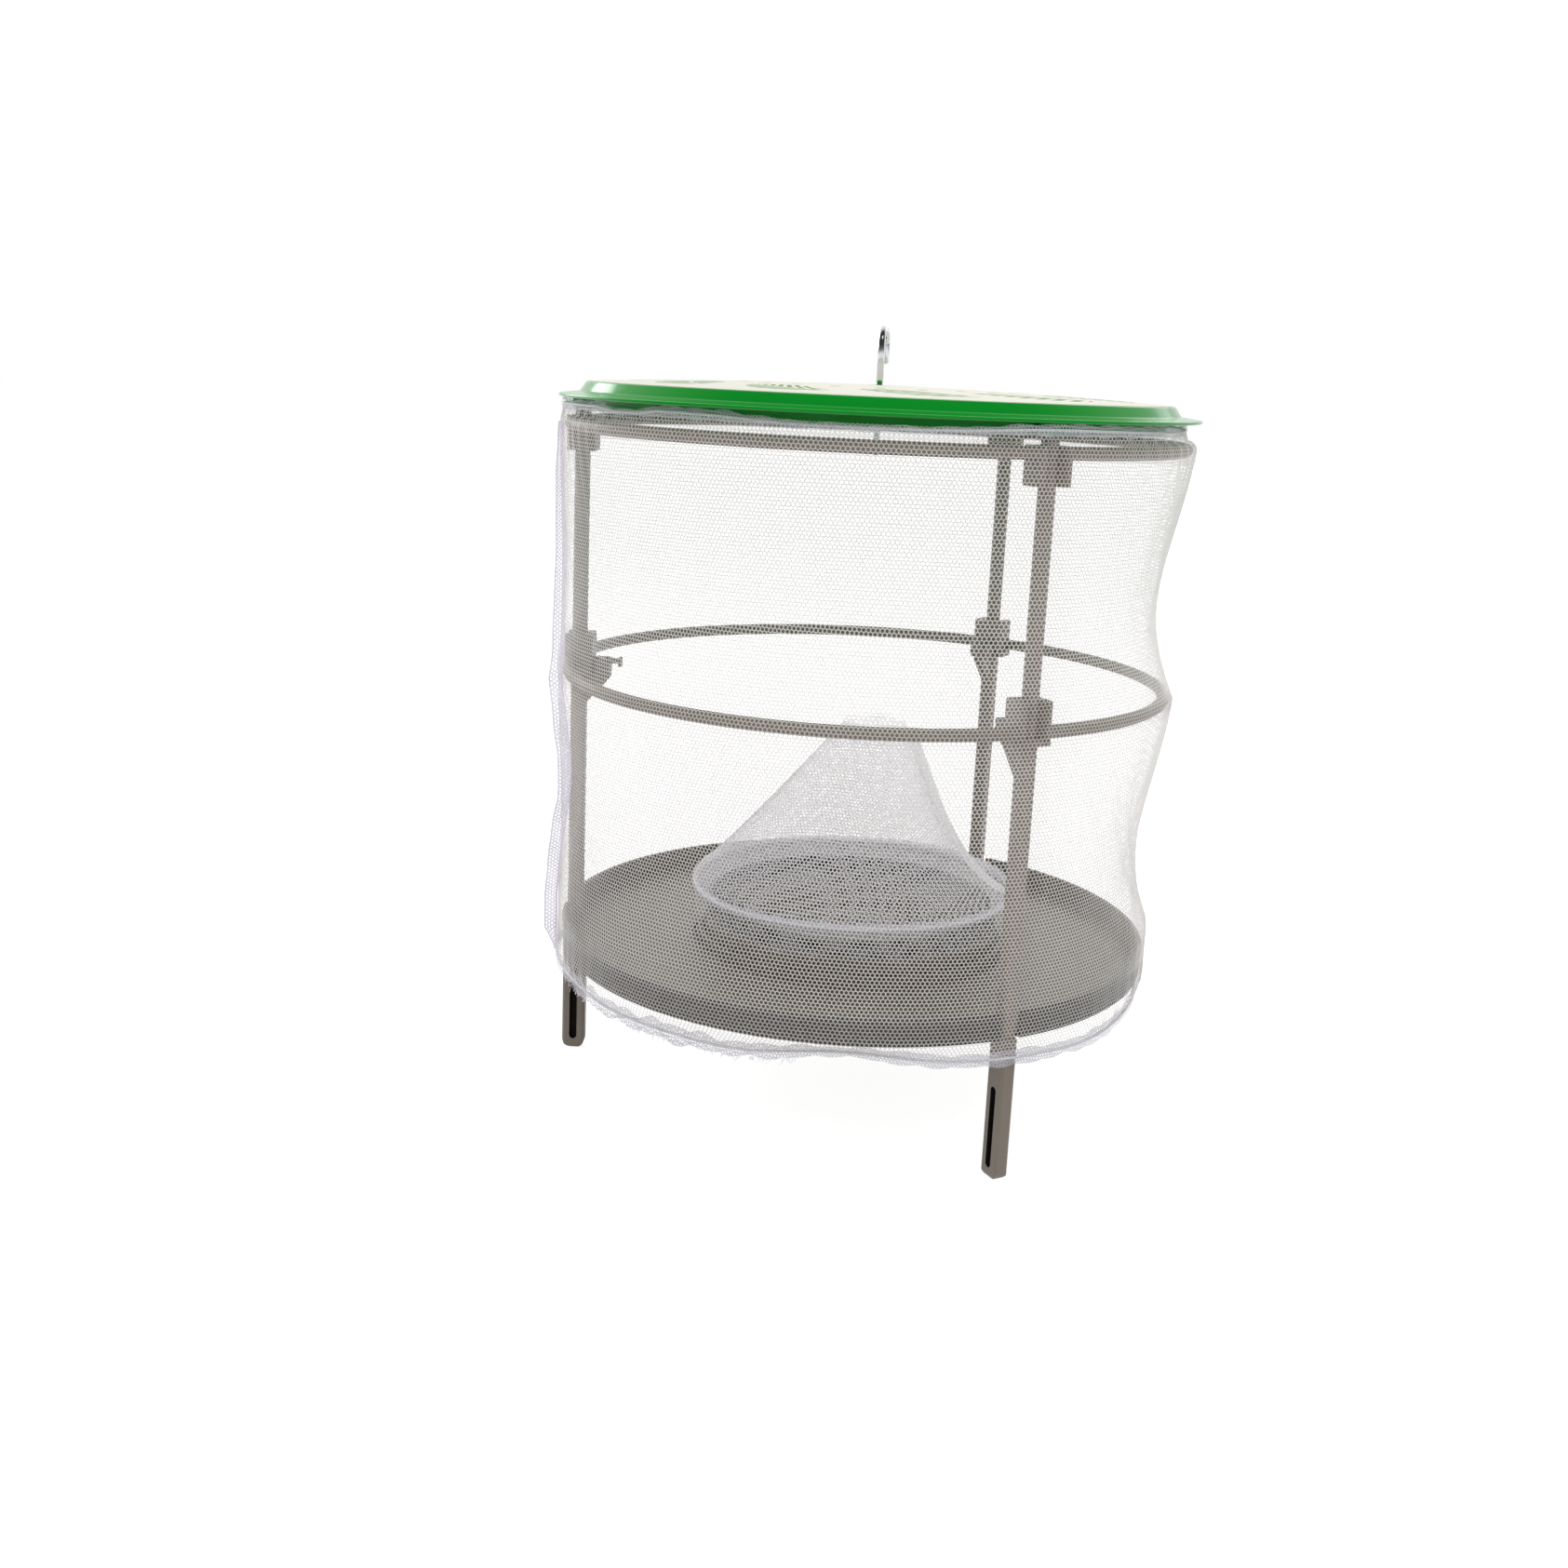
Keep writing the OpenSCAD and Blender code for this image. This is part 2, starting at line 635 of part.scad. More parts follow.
// Shares of the funnel's height at the edges of its bars, from the mouth down
function funnel_shares() = [for (k = [0 : funnel_edges])
    k == funnel_edges ? 0 : 1 - edge_share(k, funnel_rows, funnel_bar / 2 / slant)];

module funnel_net() {
    angles = grid_angles(funnel_around, funnel_bar / hoop_r * 180 / PI, tape_angle);
    shares = funnel_shares();
    color(net_white) grid_wall(
        [for (a = angles) [for (t = shares) funnel_point(t, a, 0)]],
        [for (a = angles) [for (t = shares) funnel_point(t, a, -net_t)]],
        [for (k = [0 : funnel_edges]) k % 2 == 1 && k < funnel_edges]);
}

// The band holds the hoop, and its tucked edge lies on the collar's top
module funnel_band() {
    tuck = collar_z + cloth_gap;
    color(tape_white) difference() {
        rotate_extrude() polygon([
            [band_out, band_low], [band_out, band_top], [band_in, band_top],
            [band_in, band_low + net_t], [collar_in + cloth_gap, tuck + net_t],
            [collar_in + cloth_gap, tuck], [collar_r, tuck], [band_in + net_t, band_low]]);
        rotate_extrude() translate([hoop_r, band_low + band_h / 2]) circle(d = hoop_d + 2 * fit_gap);
    }
}

module funnel_hoop() {
    color(tape_white) rotate_extrude() translate([hoop_r, band_low + band_h / 2]) circle(d = hoop_d);
}

module funnel_apron() {
    top = band_low - cloth_gap;
    opening_w = 2 * PI * hoop_r / funnel_around - funnel_bar;
    color(net_white) difference() {
        rotate_extrude() polygon([
            [hoop_r, top], [hoop_r + net_t, top],
            [hoop_r, top - apron_l], [hoop_r - net_t, top - apron_l]]);
        for (i = [0 : funnel_around - 1])
            rotate([0, 0, tape_angle + 360 * (i + 0.5) / funnel_around])
                translate([hoop_r, 0, top - apron_l / 2])
                    cube([8 * net_t, opening_w, apron_l - funnel_bar], center = true);
    }
}

module funnel_mouth_hem() {
    low = funnel_top + cloth_gap;
    color(tape_white) translate([lean, 0, low]) rotate_extrude() polygon([
        [mouth_r - 2 * net_t, 0], [mouth_r + net_t / 2, 0],
        [mouth_r, mouth_hem_h], [mouth_r - 2 * net_t, mouth_hem_h]]);
}

module funnel_tape() {
    half = tape_w / 2;
    shares = funnel_shares();
    color(tape_white) strip_solid([for (k = [len(shares) - 1 : -1 : 0])
        let (t = shares[k], spread = half / funnel_r(t, tape_angle) * 180 / PI)
        [funnel_point(t, tape_angle + spread, cloth_gap),
         funnel_point(t, tape_angle + spread, cloth_gap + net_t),
         funnel_point(t, tape_angle - spread, cloth_gap + net_t),
         funnel_point(t, tape_angle - spread, cloth_gap)]]);
}

// ---- net sleeve ----

sleeve_sides = 36;
shoulder_steps = 2;
low_edge = foot_h - low_hem_drop;
top_hem_low = lid_z - cloth_gap - top_hem_h;

// Share of the drawing-in at a direction: 0 over a post, 1 between two posts
function bay(a) = pow((1 - cos(3 * (a - leg_angles[0]))) / 2, bay_flat);
// Share of the waist at a share s down a span
function waist(s) = sin(180 * pow(s, sag_skew));

post_touch = ring_out + net_gap + block_pass;
foot_touch = max(post_r + foot_w / 2, tray_r) + net_gap;

// Rows of the sleeve from top to bottom: height, radius over a post, radius between posts, and
// whether the openings start there. The offset o moves the row out from the frame.
function sleeve_rows(o) = concat(
    [[top_hem_low - cloth_gap - net_gap + o / 2,
      post_touch + o - net_gap, post_touch - top_draw - net_gap, false]],
    [for (k = [0 : shoulder_steps - 1]) let (u = 90 - 90 * k / shoulder_steps)
        [top_z + (ring_t / 2 + net_gap + o) * sin(u), post_touch + o,
         ring_r + (ring_t / 2 + net_gap + o) * cos(u), false]],
    [for (k = [0 : 2 * grid_upper])
        let (s = edge_share(k, grid_upper, grid_bar / 2 / (top_z - mid_z)))
        [mix(top_z, mid_z, s), post_touch + o,
         ring_out + net_gap + o - waist_upper * waist(s), k % 2 == 1]],
    [for (k = [0 : 2 * grid_lower + 1])
        let (s = k > 2 * grid_lower ? 1 : edge_share(k, grid_lower, grid_bar / 2 / (mid_z - rim_z)))
        [mix(mid_z, rim_z, s), mix(post_touch, foot_touch, s) + o,
         mix(ring_out, tray_r, s) + net_gap + o - waist_lower * waist(s), k % 2 == 1 && s < 1]],
    [[foot_h, foot_touch + o, tray_r + net_gap + o, false],
     [low_edge, foot_touch + o, tray_r + net_gap + o - low_draw / 2, false]]);

function wrap(row, a) = polar(mix(row[1], row[2], bay(a)), a, row[0]);

module sleeve_net() {
    angles = grid_angles(grid_around, grid_bar / post_touch * 180 / PI, leg_angles[0]);
    color(net_white) grid_wall(
        [for (a = angles) [for (row = sleeve_rows(net_t)) wrap(row, a)]],
        [for (a = angles) [for (row = sleeve_rows(0)) wrap(row, a)]],
        [for (row = sleeve_rows(0)) row[3]]);
}

// Inner radius of a hem in direction a
function top_hem_r(a) = post_touch - net_gap - top_draw * bay(a);
function low_hem_r(a) = foot_touch - low_draw * bay(a);

// Box section and round section about a middle height, as loops of points
function box_loop(r, a, z, half_w, half_h) = [
    polar(r - half_w, a, z - half_h), polar(r + half_w, a, z - half_h),
    polar(r + half_w, a, z + half_h), polar(r - half_w, a, z + half_h)];
function round_loop(r, a, z, radius) = [for (k = [0 : 5])
    polar(r + radius * cos(60 * k), a, z + radius * sin(60 * k))];

module top_hem_body(half_w, half_h) {
    ring_solid([for (i = [0 : sleeve_sides - 1]) let (a = 360 * i / sleeve_sides)
        box_loop(top_hem_r(a) + hem_t / 2, a, top_hem_low + top_hem_h / 2, half_w, half_h)]);
}

module low_hem_body(half_w, half_h) {
    ring_solid([for (i = [0 : sleeve_sides - 1]) let (a = 360 * i / sleeve_sides)
        box_loop(low_hem_r(a) + hem_t / 2, a, low_edge - cloth_gap - low_hem_h / 2, half_w, half_h)]);
}

tunnel = (elastic_d + cloth_gap) / 2;

module sleeve_top_hem() {
    color(tape_white) difference() {
        top_hem_body(hem_t / 2, top_hem_h / 2);
        top_hem_body(tunnel, tunnel);
    }
}

module sleeve_bottom_hem() {
    color(tape_white) difference() {
        low_hem_body(hem_t / 2, low_hem_h / 2);
        low_hem_body(tunnel, tunnel);
    }
}

module sleeve_top_elastic() {
    color(tape_white) ring_solid([for (i = [0 : sleeve_sides - 1]) let (a = 360 * i / sleeve_sides)
        round_loop(top_hem_r(a) + hem_t / 2, a, top_hem_low + top_hem_h / 2, elastic_d / 2)]);
}

module sleeve_bottom_elastic() {
    color(tape_white) ring_solid([for (i = [0 : sleeve_sides - 1]) let (a = 360 * i / sleeve_sides)
        round_loop(low_hem_r(a) + hem_t / 2, a, low_edge - cloth_gap - low_hem_h / 2, elastic_d / 2)]);
}

// Direction of the seam at a height. It wanders most below the middle ring, and least at the top.
function seam_dir(z) = seam_angle + seam_drift * mix(1, seam_taper, max(0, (z - mid_z) / upper_span))
    * cos(360 * (mid_z - seam_drift_l / seam_drift_lead - z) / seam_drift_l);

// Loose edge of the sleeve's seam, standing out and waving a little from side to side
module sleeve_seam() {
    rows = [for (row = sleeve_rows(net_t)) if (row[0] <= top_z && row[0] >= foot_h) row];
    color(tape_white) strip_solid([for (k = [len(rows) - 1 : -1 : 0])
        let (row = rows[k], a = seam_dir(row[0]), r = mix(row[1], row[2], bay(a)) + 2 * cloth_gap,
             reach = seam_w * mix(1, seam_taper, max(0, (row[0] - mid_z) / upper_span)),
             sway = seam_wave * sin(360 * seam_waves * k / len(rows)) / r * 180 / PI,
             thick = seam_t / 2 / r * 180 / PI)
        [polar(r, a + thick, row[0]),
         polar(r + reach, a + sway + thick, row[0]),
         polar(r + reach, a + sway - thick, row[0]),
         polar(r, a - thick, row[0])]]);
}

lid();
hanging_hook();
hook_washer();
hook_nut();
top_ring();
middle_ring();
upper_post(leg_angles[0]);  // upper_post_left
upper_post(leg_angles[1]);  // upper_post_front
upper_post(leg_angles[2]);  // upper_post_back
lower_leg(leg_angles[0]);  // lower_leg_left
lower_leg(leg_angles[1]);  // lower_leg_front
lower_leg(leg_angles[2]);  // lower_leg_back
tray();
bait_cup();
funnel_net();
funnel_band();
funnel_hoop();
funnel_apron();
funnel_mouth_hem();
funnel_tape();
sleeve_net();
sleeve_top_hem();
sleeve_top_elastic();
sleeve_bottom_hem();
sleeve_bottom_elastic();
sleeve_seam();
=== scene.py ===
# %% [markdown]
# # A round net fly trap cage
#
# A light plastic frame with a net pulled over it. Flies climb in from under the tray,
# up through the funnel of net, and don't find the way back. This lesson dresses the
# frame: moulded plastic with softened edges, a glossy lid, a wire hook, and knitted
# net made as real threads round open meshes.

import json
import math

import bmesh
import bpy
import numpy as np
from mathutils import Matrix, Vector

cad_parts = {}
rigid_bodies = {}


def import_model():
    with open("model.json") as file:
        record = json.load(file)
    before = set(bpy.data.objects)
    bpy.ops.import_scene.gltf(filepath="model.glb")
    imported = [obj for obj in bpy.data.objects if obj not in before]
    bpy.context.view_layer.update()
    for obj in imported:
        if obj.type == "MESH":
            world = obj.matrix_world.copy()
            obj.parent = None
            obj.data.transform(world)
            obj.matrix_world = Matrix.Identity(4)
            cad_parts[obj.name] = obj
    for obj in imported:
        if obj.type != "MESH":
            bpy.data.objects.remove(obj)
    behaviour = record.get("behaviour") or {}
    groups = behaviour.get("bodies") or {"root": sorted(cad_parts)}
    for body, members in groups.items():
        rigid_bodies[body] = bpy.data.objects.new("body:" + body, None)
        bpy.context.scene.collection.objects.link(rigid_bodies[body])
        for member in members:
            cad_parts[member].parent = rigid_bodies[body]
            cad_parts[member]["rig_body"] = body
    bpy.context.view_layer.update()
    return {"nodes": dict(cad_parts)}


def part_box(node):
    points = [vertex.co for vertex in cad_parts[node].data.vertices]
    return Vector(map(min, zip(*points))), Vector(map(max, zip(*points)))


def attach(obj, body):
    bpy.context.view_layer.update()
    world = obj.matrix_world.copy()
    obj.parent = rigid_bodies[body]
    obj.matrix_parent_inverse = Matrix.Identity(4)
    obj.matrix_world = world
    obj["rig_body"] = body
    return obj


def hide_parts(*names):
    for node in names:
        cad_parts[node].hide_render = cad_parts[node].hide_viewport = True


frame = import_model()
MM = 0.001

# %% [markdown]
# ## Camera
#
# The camera stands above the cage and looks slightly down, with a small roll as from
# a hand-held shot. Three angles say where it looks.

# %% The camera's place and aim
CAMERA_PLACE = Vector((0, -0.69688, 0.28951))
YAW, PITCH, ROLL = (math.radians(angle) for angle in (-2.512, 13.515, 2.541))
FRAME_PIXELS = 1685
FOCAL_PIXELS = 1852.19

ahead = Vector((math.sin(YAW) * math.cos(PITCH), math.cos(YAW) * math.cos(PITCH), -math.sin(PITCH)))
level_right = ahead.cross(Vector((0, 0, 1))).normalized()
level_up = level_right.cross(ahead)
right = math.cos(ROLL) * level_right + math.sin(ROLL) * level_up
up = math.cos(ROLL) * level_up - math.sin(ROLL) * level_right

camera = bpy.data.objects.new("camera", bpy.data.cameras.new("camera"))
camera.data.sensor_width = 36
camera.data.lens = camera.data.sensor_width * FOCAL_PIXELS / FRAME_PIXELS
camera.data.clip_start, camera.data.clip_end = 0.01, 30
camera.matrix_world = Matrix.Translation(CAMERA_PLACE) @ Matrix((right, up, -ahead)).transposed().to_4x4()
bpy.context.scene.collection.objects.link(camera)
bpy.context.scene.camera = camera
print("lens:", round(camera.data.lens, 2), "mm")

# %% [markdown]
# ## Materials
#
# Every finish is built from nodes, and a small class keeps that short. Each method adds
# a node and gives back what the next one needs: a colour, a 0 to 1 signal or a relief.
# Sizes are in millimetres, so a grain of 0.4 mm is written as 0.4.

# %% Helpers for materials
def srgb(code):
    """A hex colour such as #a0b0c0 as linear red, green, blue and alpha."""
    parts = [int(code[i : i + 2], 16) / 255 for i in (1, 3, 5)]
    return (*[p / 12.92 if p <= 0.04045 else ((p + 0.055) / 1.055) ** 2.4 for p in parts], 1)


class Maker:
    """Makes the shader nodes of one material or of the world."""

    def __init__(self, owner):
        owner.use_nodes = True
        self.owner, self.tree = owner, owner.node_tree
        self.tree.nodes.clear()
        self.coordinates = self.node("TexCoord").outputs
        self.place = self.coordinates["Object"]

    def node(self, kind, inputs=None, **settings):
        """Adds a node. An input is a value or another node's output, by name or number."""
        node = self.tree.nodes.new("ShaderNode" + kind)
        for setting, value in settings.items():
            setattr(node, setting, value)
        for key, value in (inputs or {}).items():
            if isinstance(value, bpy.types.NodeSocket):
                self.tree.links.new(value, node.inputs[key])
            else:
                node.inputs[key].default_value = value
        return node

    def noise(self, size, detail, distortion=0.0, place=None, output="Fac"):
        """Cloudy noise from 0 to 1, with features of a size in mm."""
        inputs = {"Vector": place or self.place, "Scale": 1 / (size * MM), "Detail": detail}
        return self.node("TexNoise", {**inputs, "Distortion": distortion}).outputs[output]

    def ribs(self, size, distortion, direction):
        """Wavy stripes from 0 to 1, with a size in mm."""
        inputs = {"Vector": self.place, "Scale": 1 / (size * MM) / 6.28, "Distortion": distortion}
        return self.node("TexWave", inputs, bands_direction=direction).outputs["Fac"]

    def blend(self, share, first, second, blend_type="MIX"):
        """Mixes two colours. Each is a hex code or another node's output."""
        ends = [srgb(colour) if isinstance(colour, str) else colour for colour in (first, second)]
        inputs = {0: share, 6: ends[0], 7: ends[1]}
        return self.node("Mix", inputs, data_type="RGBA", blend_type=blend_type).outputs[2]

    def math(self, operation, a, b=0.0, c=0.0):
        return self.node("Math", {0: a, 1: b, 2: c}, operation=operation).outputs[0]

    def largest(self, first, *others):
        """The largest of several 0 to 1 signals."""
        for other in others:
            first = self.math("MAXIMUM", first, other)
        return first

    def remap(self, value, low, high, to_low=0.0, to_high=1.0, kind="LINEAR"):
        """Turns a signal that runs from low to high into one from to_low to to_high."""
        inputs = {"Value": value, "From Min": low, "From Max": high, "To Min": to_low, "To Max": to_high}
        return self.node("MapRange", inputs, interpolation_type=kind).outputs[0]

    def relief(self, height, strength, depth):
        """A bump from a 0 to 1 height, with a depth in mm."""
        inputs = {"Height": height, "Strength": strength, "Distance": depth * MM}
        return self.node("Bump", inputs).outputs[0]

    def off_the_axis(self):
        """How far a point is from the vertical axis, and its x, y and z."""
        apart = self.node("SeparateXYZ", {0: self.place}).outputs
        flat = self.node("CombineXYZ", {0: apart[0], 1: apart[1]}).outputs[0]
        return self.node("VectorMath", {0: flat}, operation="LENGTH").outputs["Value"], apart

    def principled(self, colour, roughness, more):
        return self.node("BsdfPrincipled", {"Base Color": colour, "Roughness": roughness, **more})

    def finish(self, shader):
        self.node("OutputMaterial", {"Surface": shader.outputs[0]})
        return self.owner


def new_material(name):
    return Maker(bpy.data.materials.new(name))


# %% [markdown]
# The lid is polypropylene from a polished tool, a deep green with a clean gloss. Up
# close the melt leaves faint flow clouds, handling leaves fine scuffs, and the skin
# has a very shallow orange peel.

# %% Green polypropylene, gloss moulded
def green_polypropylene():
    make = new_material("polypropylene_green_gloss_moulded")
    colour = make.blend(make.noise(40, 3), "#048c25", "#079a2b")
    stretched = make.node("Mapping", {"Vector": make.place, "Scale": (1, 6, 1), "Rotation": (0, 0, 0.6)})
    scuffed = make.remap(make.noise(4, 6, place=stretched.outputs[0]), 0.45, 0.8, 0.12, 0.27)
    peel = make.relief(make.noise(2.2, 1), 0.12, 0.05)
    more = {"IOR": 1.49, "Specular IOR Level": 0.3, "Normal": peel}
    return make.finish(make.principled(colour, scuffed, more))


# %% [markdown]
# The frame, tray and cup are moulded from a greyish brown polypropylene with a spark
# texture, a fine satin grain of about 0.4 mm. Long flow marks make it a little lighter
# and darker. The tray and its cup get a deeper taupe, as painted shade. More painted
# shade darkens the corners at the foot of the tray's collar and step, the collar's wall
# under the apron, and the outside of the rim.

# %% Taupe polypropylene, satin moulded
# Painted shade: two rings at the corners, the collar's wall and the rim's outer face.
CORNERS = ((61.9, 1.6), (65.5, 1.2))
WALL_R, WALL_FROM_Z, WALL_TO_Z = 62, 67, 70
RIM_FACE_R, RIM_SHARE = 120, 0.75


def taupe_polypropylene(name, dark, light, painted_shade=0.0):
    make = new_material(name)
    out, apart = make.off_the_axis()

    def fade(value, low, high):
        """A soft step from 0 at low to 1 at high, in mm."""
        return make.remap(value, low * MM, high * MM, kind="SMOOTHSTEP")

    wall = make.math("MULTIPLY", fade(apart[2], WALL_FROM_Z, WALL_TO_Z), fade(out, WALL_R, WALL_R - 1))
    rim = make.math("MULTIPLY", fade(out, RIM_FACE_R - 0.3, RIM_FACE_R + 0.3), RIM_SHARE)
    shade_mask = make.math("MAXIMUM", wall, rim)
    for corner_r, half_w in CORNERS:
        distance = make.math("ABSOLUTE", make.math("SUBTRACT", out, corner_r * MM))
        shade_mask = make.math("MAXIMUM", shade_mask, fade(distance, half_w, half_w / 2))

    flow = make.noise(26, 4, distortion=0.6)
    specks = make.noise(0.9, 2, output="Color")
    clean = make.blend(0.12, make.blend(flow, dark, light), specks, "SOFT_LIGHT")
    # The painted shade mask mixes the clean colour towards a near black.
    colour = make.blend(make.math("MULTIPLY", shade_mask, painted_shade), clean, "#0f0d0b")
    grain = make.relief(make.noise(0.4, 2), 0.25, 0.05)
    gloss = make.remap(flow, 0, 1, 0.36, 0.52)
    return make.finish(make.principled(colour, gloss, {"IOR": 1.49, "Normal": grain}))


# %% [markdown]
# The hook is drawn steel wire with a bright nickel and chromium plate. Plating shows
# the die's fine lines along the wire and a faint haze, so the roughness varies.

# %% Chromium-plated wire, and zinc for the small hardware
def plated_steel(name, light, dark, smooth, hazy):
    make = new_material(name)
    along = make.node("Mapping", {"Vector": make.place, "Scale": (1, 1, 0.08)})
    haze = make.noise(5, 3)
    drawn = make.relief(make.noise(0.5, 3, place=along.outputs[0]), 0.08, 0.02)
    gloss = make.remap(haze, 0, 1, smooth, hazy)
    more = {"Metallic": 1.0, "Normal": drawn}
    return make.finish(make.principled(make.blend(haze, light, dark), gloss, more))


# %% [markdown]
# The sleeve is knitted from a fine polyester filament. Part of the light goes straight
# through a thread and the rest is scattered, so the net almost vanishes before a bright
# wall and greys what is dark behind it. The funnel's yarn is bulkier and whiter, and
# tape is the same yarn knitted close, with visible ribs.

# %% Polyester net thread, and close-knit tape
def let_light_pass(make, cloth, colour, forwards, clear):
    """Mixes a cloth shader with scattering forwards and with a share that stays clear."""
    through = make.node("BsdfTranslucent", {"Color": colour})
    scattered = make.node("MixShader", {0: forwards, 1: cloth.outputs[0], 2: through.outputs[0]})
    straight = make.node("BsdfTransparent")
    return make.node("MixShader", {0: clear, 1: scattered.outputs[0], 2: straight.outputs[0]})


def polyester_net(name, first, second, forwards, clear):
    make = new_material(name)
    colour = make.blend(make.noise(7, 3), first, second)
    twist = make.relief(make.noise(0.15, 1), 0.3, 0.03)
    thread = make.principled(colour, 0.5, {"Normal": twist})
    return make.finish(let_light_pass(make, thread, colour, forwards, clear))


def knitted_tape():
    make = new_material("polyester_tape_close_knit")
    colour = make.blend(make.noise(14, 3), "#f6f6f8", "#ffffff")
    knit = make.relief(make.ribs(1.1, 2, "Z"), 0.5, 0.1)
    cloth = make.principled(colour, 0.7, {"Sheen Weight": 0.2, "Normal": knit})
    return make.finish(let_light_pass(make, cloth, colour, 0.55, 0.03))


# %% [markdown]
# The elastic is rubber covered with a white braid, and the hoop is wire in a white
# plastic coat. Both lie inside folds of net and show only as a brighter line.

# %% Covered elastic and coated wire
def covered_elastic():
    make = new_material("rubber_elastic_white_braid")
    braid = make.ribs(0.8, 1.5, "DIAGONAL")
    colour, cords = make.blend(braid, "#dcdddc", "#f0f0ee"), make.relief(braid, 0.6, 0.08)
    return make.finish(make.principled(colour, 0.75, {"Normal": cords}))


def coated_wire():
    make = new_material("pvc_coat_white_dipped")
    coat = make.noise(9, 2)
    colour, dips = make.blend(coat, "#e4e4e2", "#f6f6f4"), make.relief(coat, 0.2, 0.1)
    return make.finish(make.principled(colour, 0.4, {"IOR": 1.52, "Normal": dips}))


# %% [markdown]
# The lid carries a pale film, printed with a wreath of simple leaves and a ring of
# dots. The pattern is worked out in polar form: how far out a point is, and how far
# round, counted in leaves. A leaf is where the distance from the wreath's line is less
# than a parabola along the leaf. Its veins are pale stripes.

# %% Printed film on the lid
LEAVES, WREATH_R, LEAF_HALF_L, LEAF_HALF_W, LEAF_SLANT = 11, 83, 21, 15, 0.5
VEIN_STEP, VEIN_SLANT, VEIN_HALF_W = 5.5, 0.9, 0.24
DOTS, DOTS_R, DOT_R = 22, 56, 2.4


def printed_film():
    make = new_material("polypropylene_film_printed")
    out, apart = make.off_the_axis()

    calc = make.math

    def share_of_turn(count):
        """From -0.5 to 0.5 across each of count equal parts of a turn."""
        turned = calc("MULTIPLY_ADD", calc("ARCTAN2", apart[1], apart[0]), count / math.tau, count)
        return calc("SUBTRACT", calc("FRACT", turned), 0.5)

    out = calc("MULTIPLY", out, 1 / MM)
    along = calc("MULTIPLY", share_of_turn(LEAVES), math.tau * WREATH_R / LEAVES / LEAF_HALF_L)
    off_line = calc("SUBTRACT", out, WREATH_R)
    off_middle = calc("ABSOLUTE", calc("MULTIPLY_ADD", along, -LEAF_SLANT * LEAF_HALF_L, off_line))
    width = calc("MULTIPLY", calc("SUBTRACT", 1.0, calc("MULTIPLY", along, along)), LEAF_HALF_W)
    leaf = make.remap(calc("SUBTRACT", width, off_middle), 0.0, 0.5)
    vein = calc("MULTIPLY", off_middle, VEIN_SLANT / VEIN_STEP)
    vein = calc("MULTIPLY_ADD", along, LEAF_HALF_L / VEIN_STEP, vein)
    off_vein = calc("ABSOLUTE", calc("SUBTRACT", calc("FRACT", calc("ADD", vein, 50.0)), 0.5))
    between_veins = make.remap(off_vein, VEIN_HALF_W - 0.06, VEIN_HALF_W)
    green = calc("MULTIPLY", between_veins, make.remap(off_middle, 0.5, 0.9))
    dot_along = calc("MULTIPLY", share_of_turn(DOTS), math.tau * DOTS_R / DOTS)
    dot_across = calc("SUBTRACT", out, DOTS_R)
    squares = [calc("MULTIPLY", way, way) for way in (dot_along, dot_across)]
    dot = make.remap(calc("SQRT", calc("ADD", *squares)), DOT_R, DOT_R - 0.4)

    ink_spread = make.noise(6, 4)
    film = make.blend(ink_spread, "#e6e3d4", "#f0eee2")
    ink = make.blend(ink_spread, "#2f7a35", "#86b86a")
    printed = make.blend(dot, make.blend(calc("MULTIPLY", leaf, green), film, ink), "#a98a4c")
    gloss = make.remap(ink_spread, 0, 1, 0.5, 0.62)
    more = {"IOR": 1.45, "Specular IOR Level": 0.25}
    return make.finish(make.principled(printed, gloss, more))


# %% [markdown]
# The slots in the feet open into the hollow of the leg, where no light falls. Their
# inside faces are painted a brown black with an uneven tone, as painted shade.

# %% Painted shade inside the feet
def painted_hollow_shade():
    make = new_material("polypropylene_taupe_painted_shade_hollow")
    shade_tone = make.noise(3, 4)
    colour, matte = make.blend(shade_tone, "#14110e", "#2b2722"), make.remap(shade_tone, 0, 1, 0.75, 0.95)
    return make.finish(make.principled(colour, matte, {"Specular IOR Level": 0.1}))


# %% Make each finish once
GREEN = green_polypropylene()
TAUPE = taupe_polypropylene("polypropylene_taupe_spark_texture", "#7a7065", "#8e8478")
# The tray and cup get a deeper taupe and 0.97 of the darkening mask, both painted shade.
TRAY_TAUPE = taupe_polypropylene("polypropylene_taupe_spark_texture_painted_shade", "#665d50", "#7b7162", 0.97)
CHROME = plated_steel("steel_wire_chromium_plated", "#e3e5e7", "#c9ccd0", 0.07, 0.18)
ZINC = plated_steel("steel_zinc_plated", "#c2c5c8", "#a3a6a8", 0.25, 0.4)
NET = polyester_net("polyester_filament_net_knitted", "#f7f4f4", "#fffcfc", 0.43, 0.27)
GATHERED_NET = polyester_net("polyester_filament_net_gathered", "#dcdae4", "#efedf6", 0.42, 0.36)
FUNNEL_NET = polyester_net("polyester_yarn_net_knitted", "#f7f3fb", "#fffbff", 0.56, 0.1)
TAPE = knitted_tape()
ELASTIC = covered_elastic()
COAT = coated_wire()
FILM = printed_film()
HOLLOW = painted_hollow_shade()
print("materials:", len(bpy.data.materials))

# %% [markdown]
# ## Floor and light
#
# The floor is white where nothing shades it. Its diffuse part keeps a soft shadow, and
# a glow that only the camera, mirrors and glass can see lifts the rest to plain white.
# The room is a little dimmer in front of the cage than behind it. In mirrors its front
# is nearly dark, which gives the lid and the hook their contrast.

# %% Floor
FLOOR_SIZE, FLOOR_GLOW = 12.0, 0.85
WHITE = (1, 1, 1, 1)


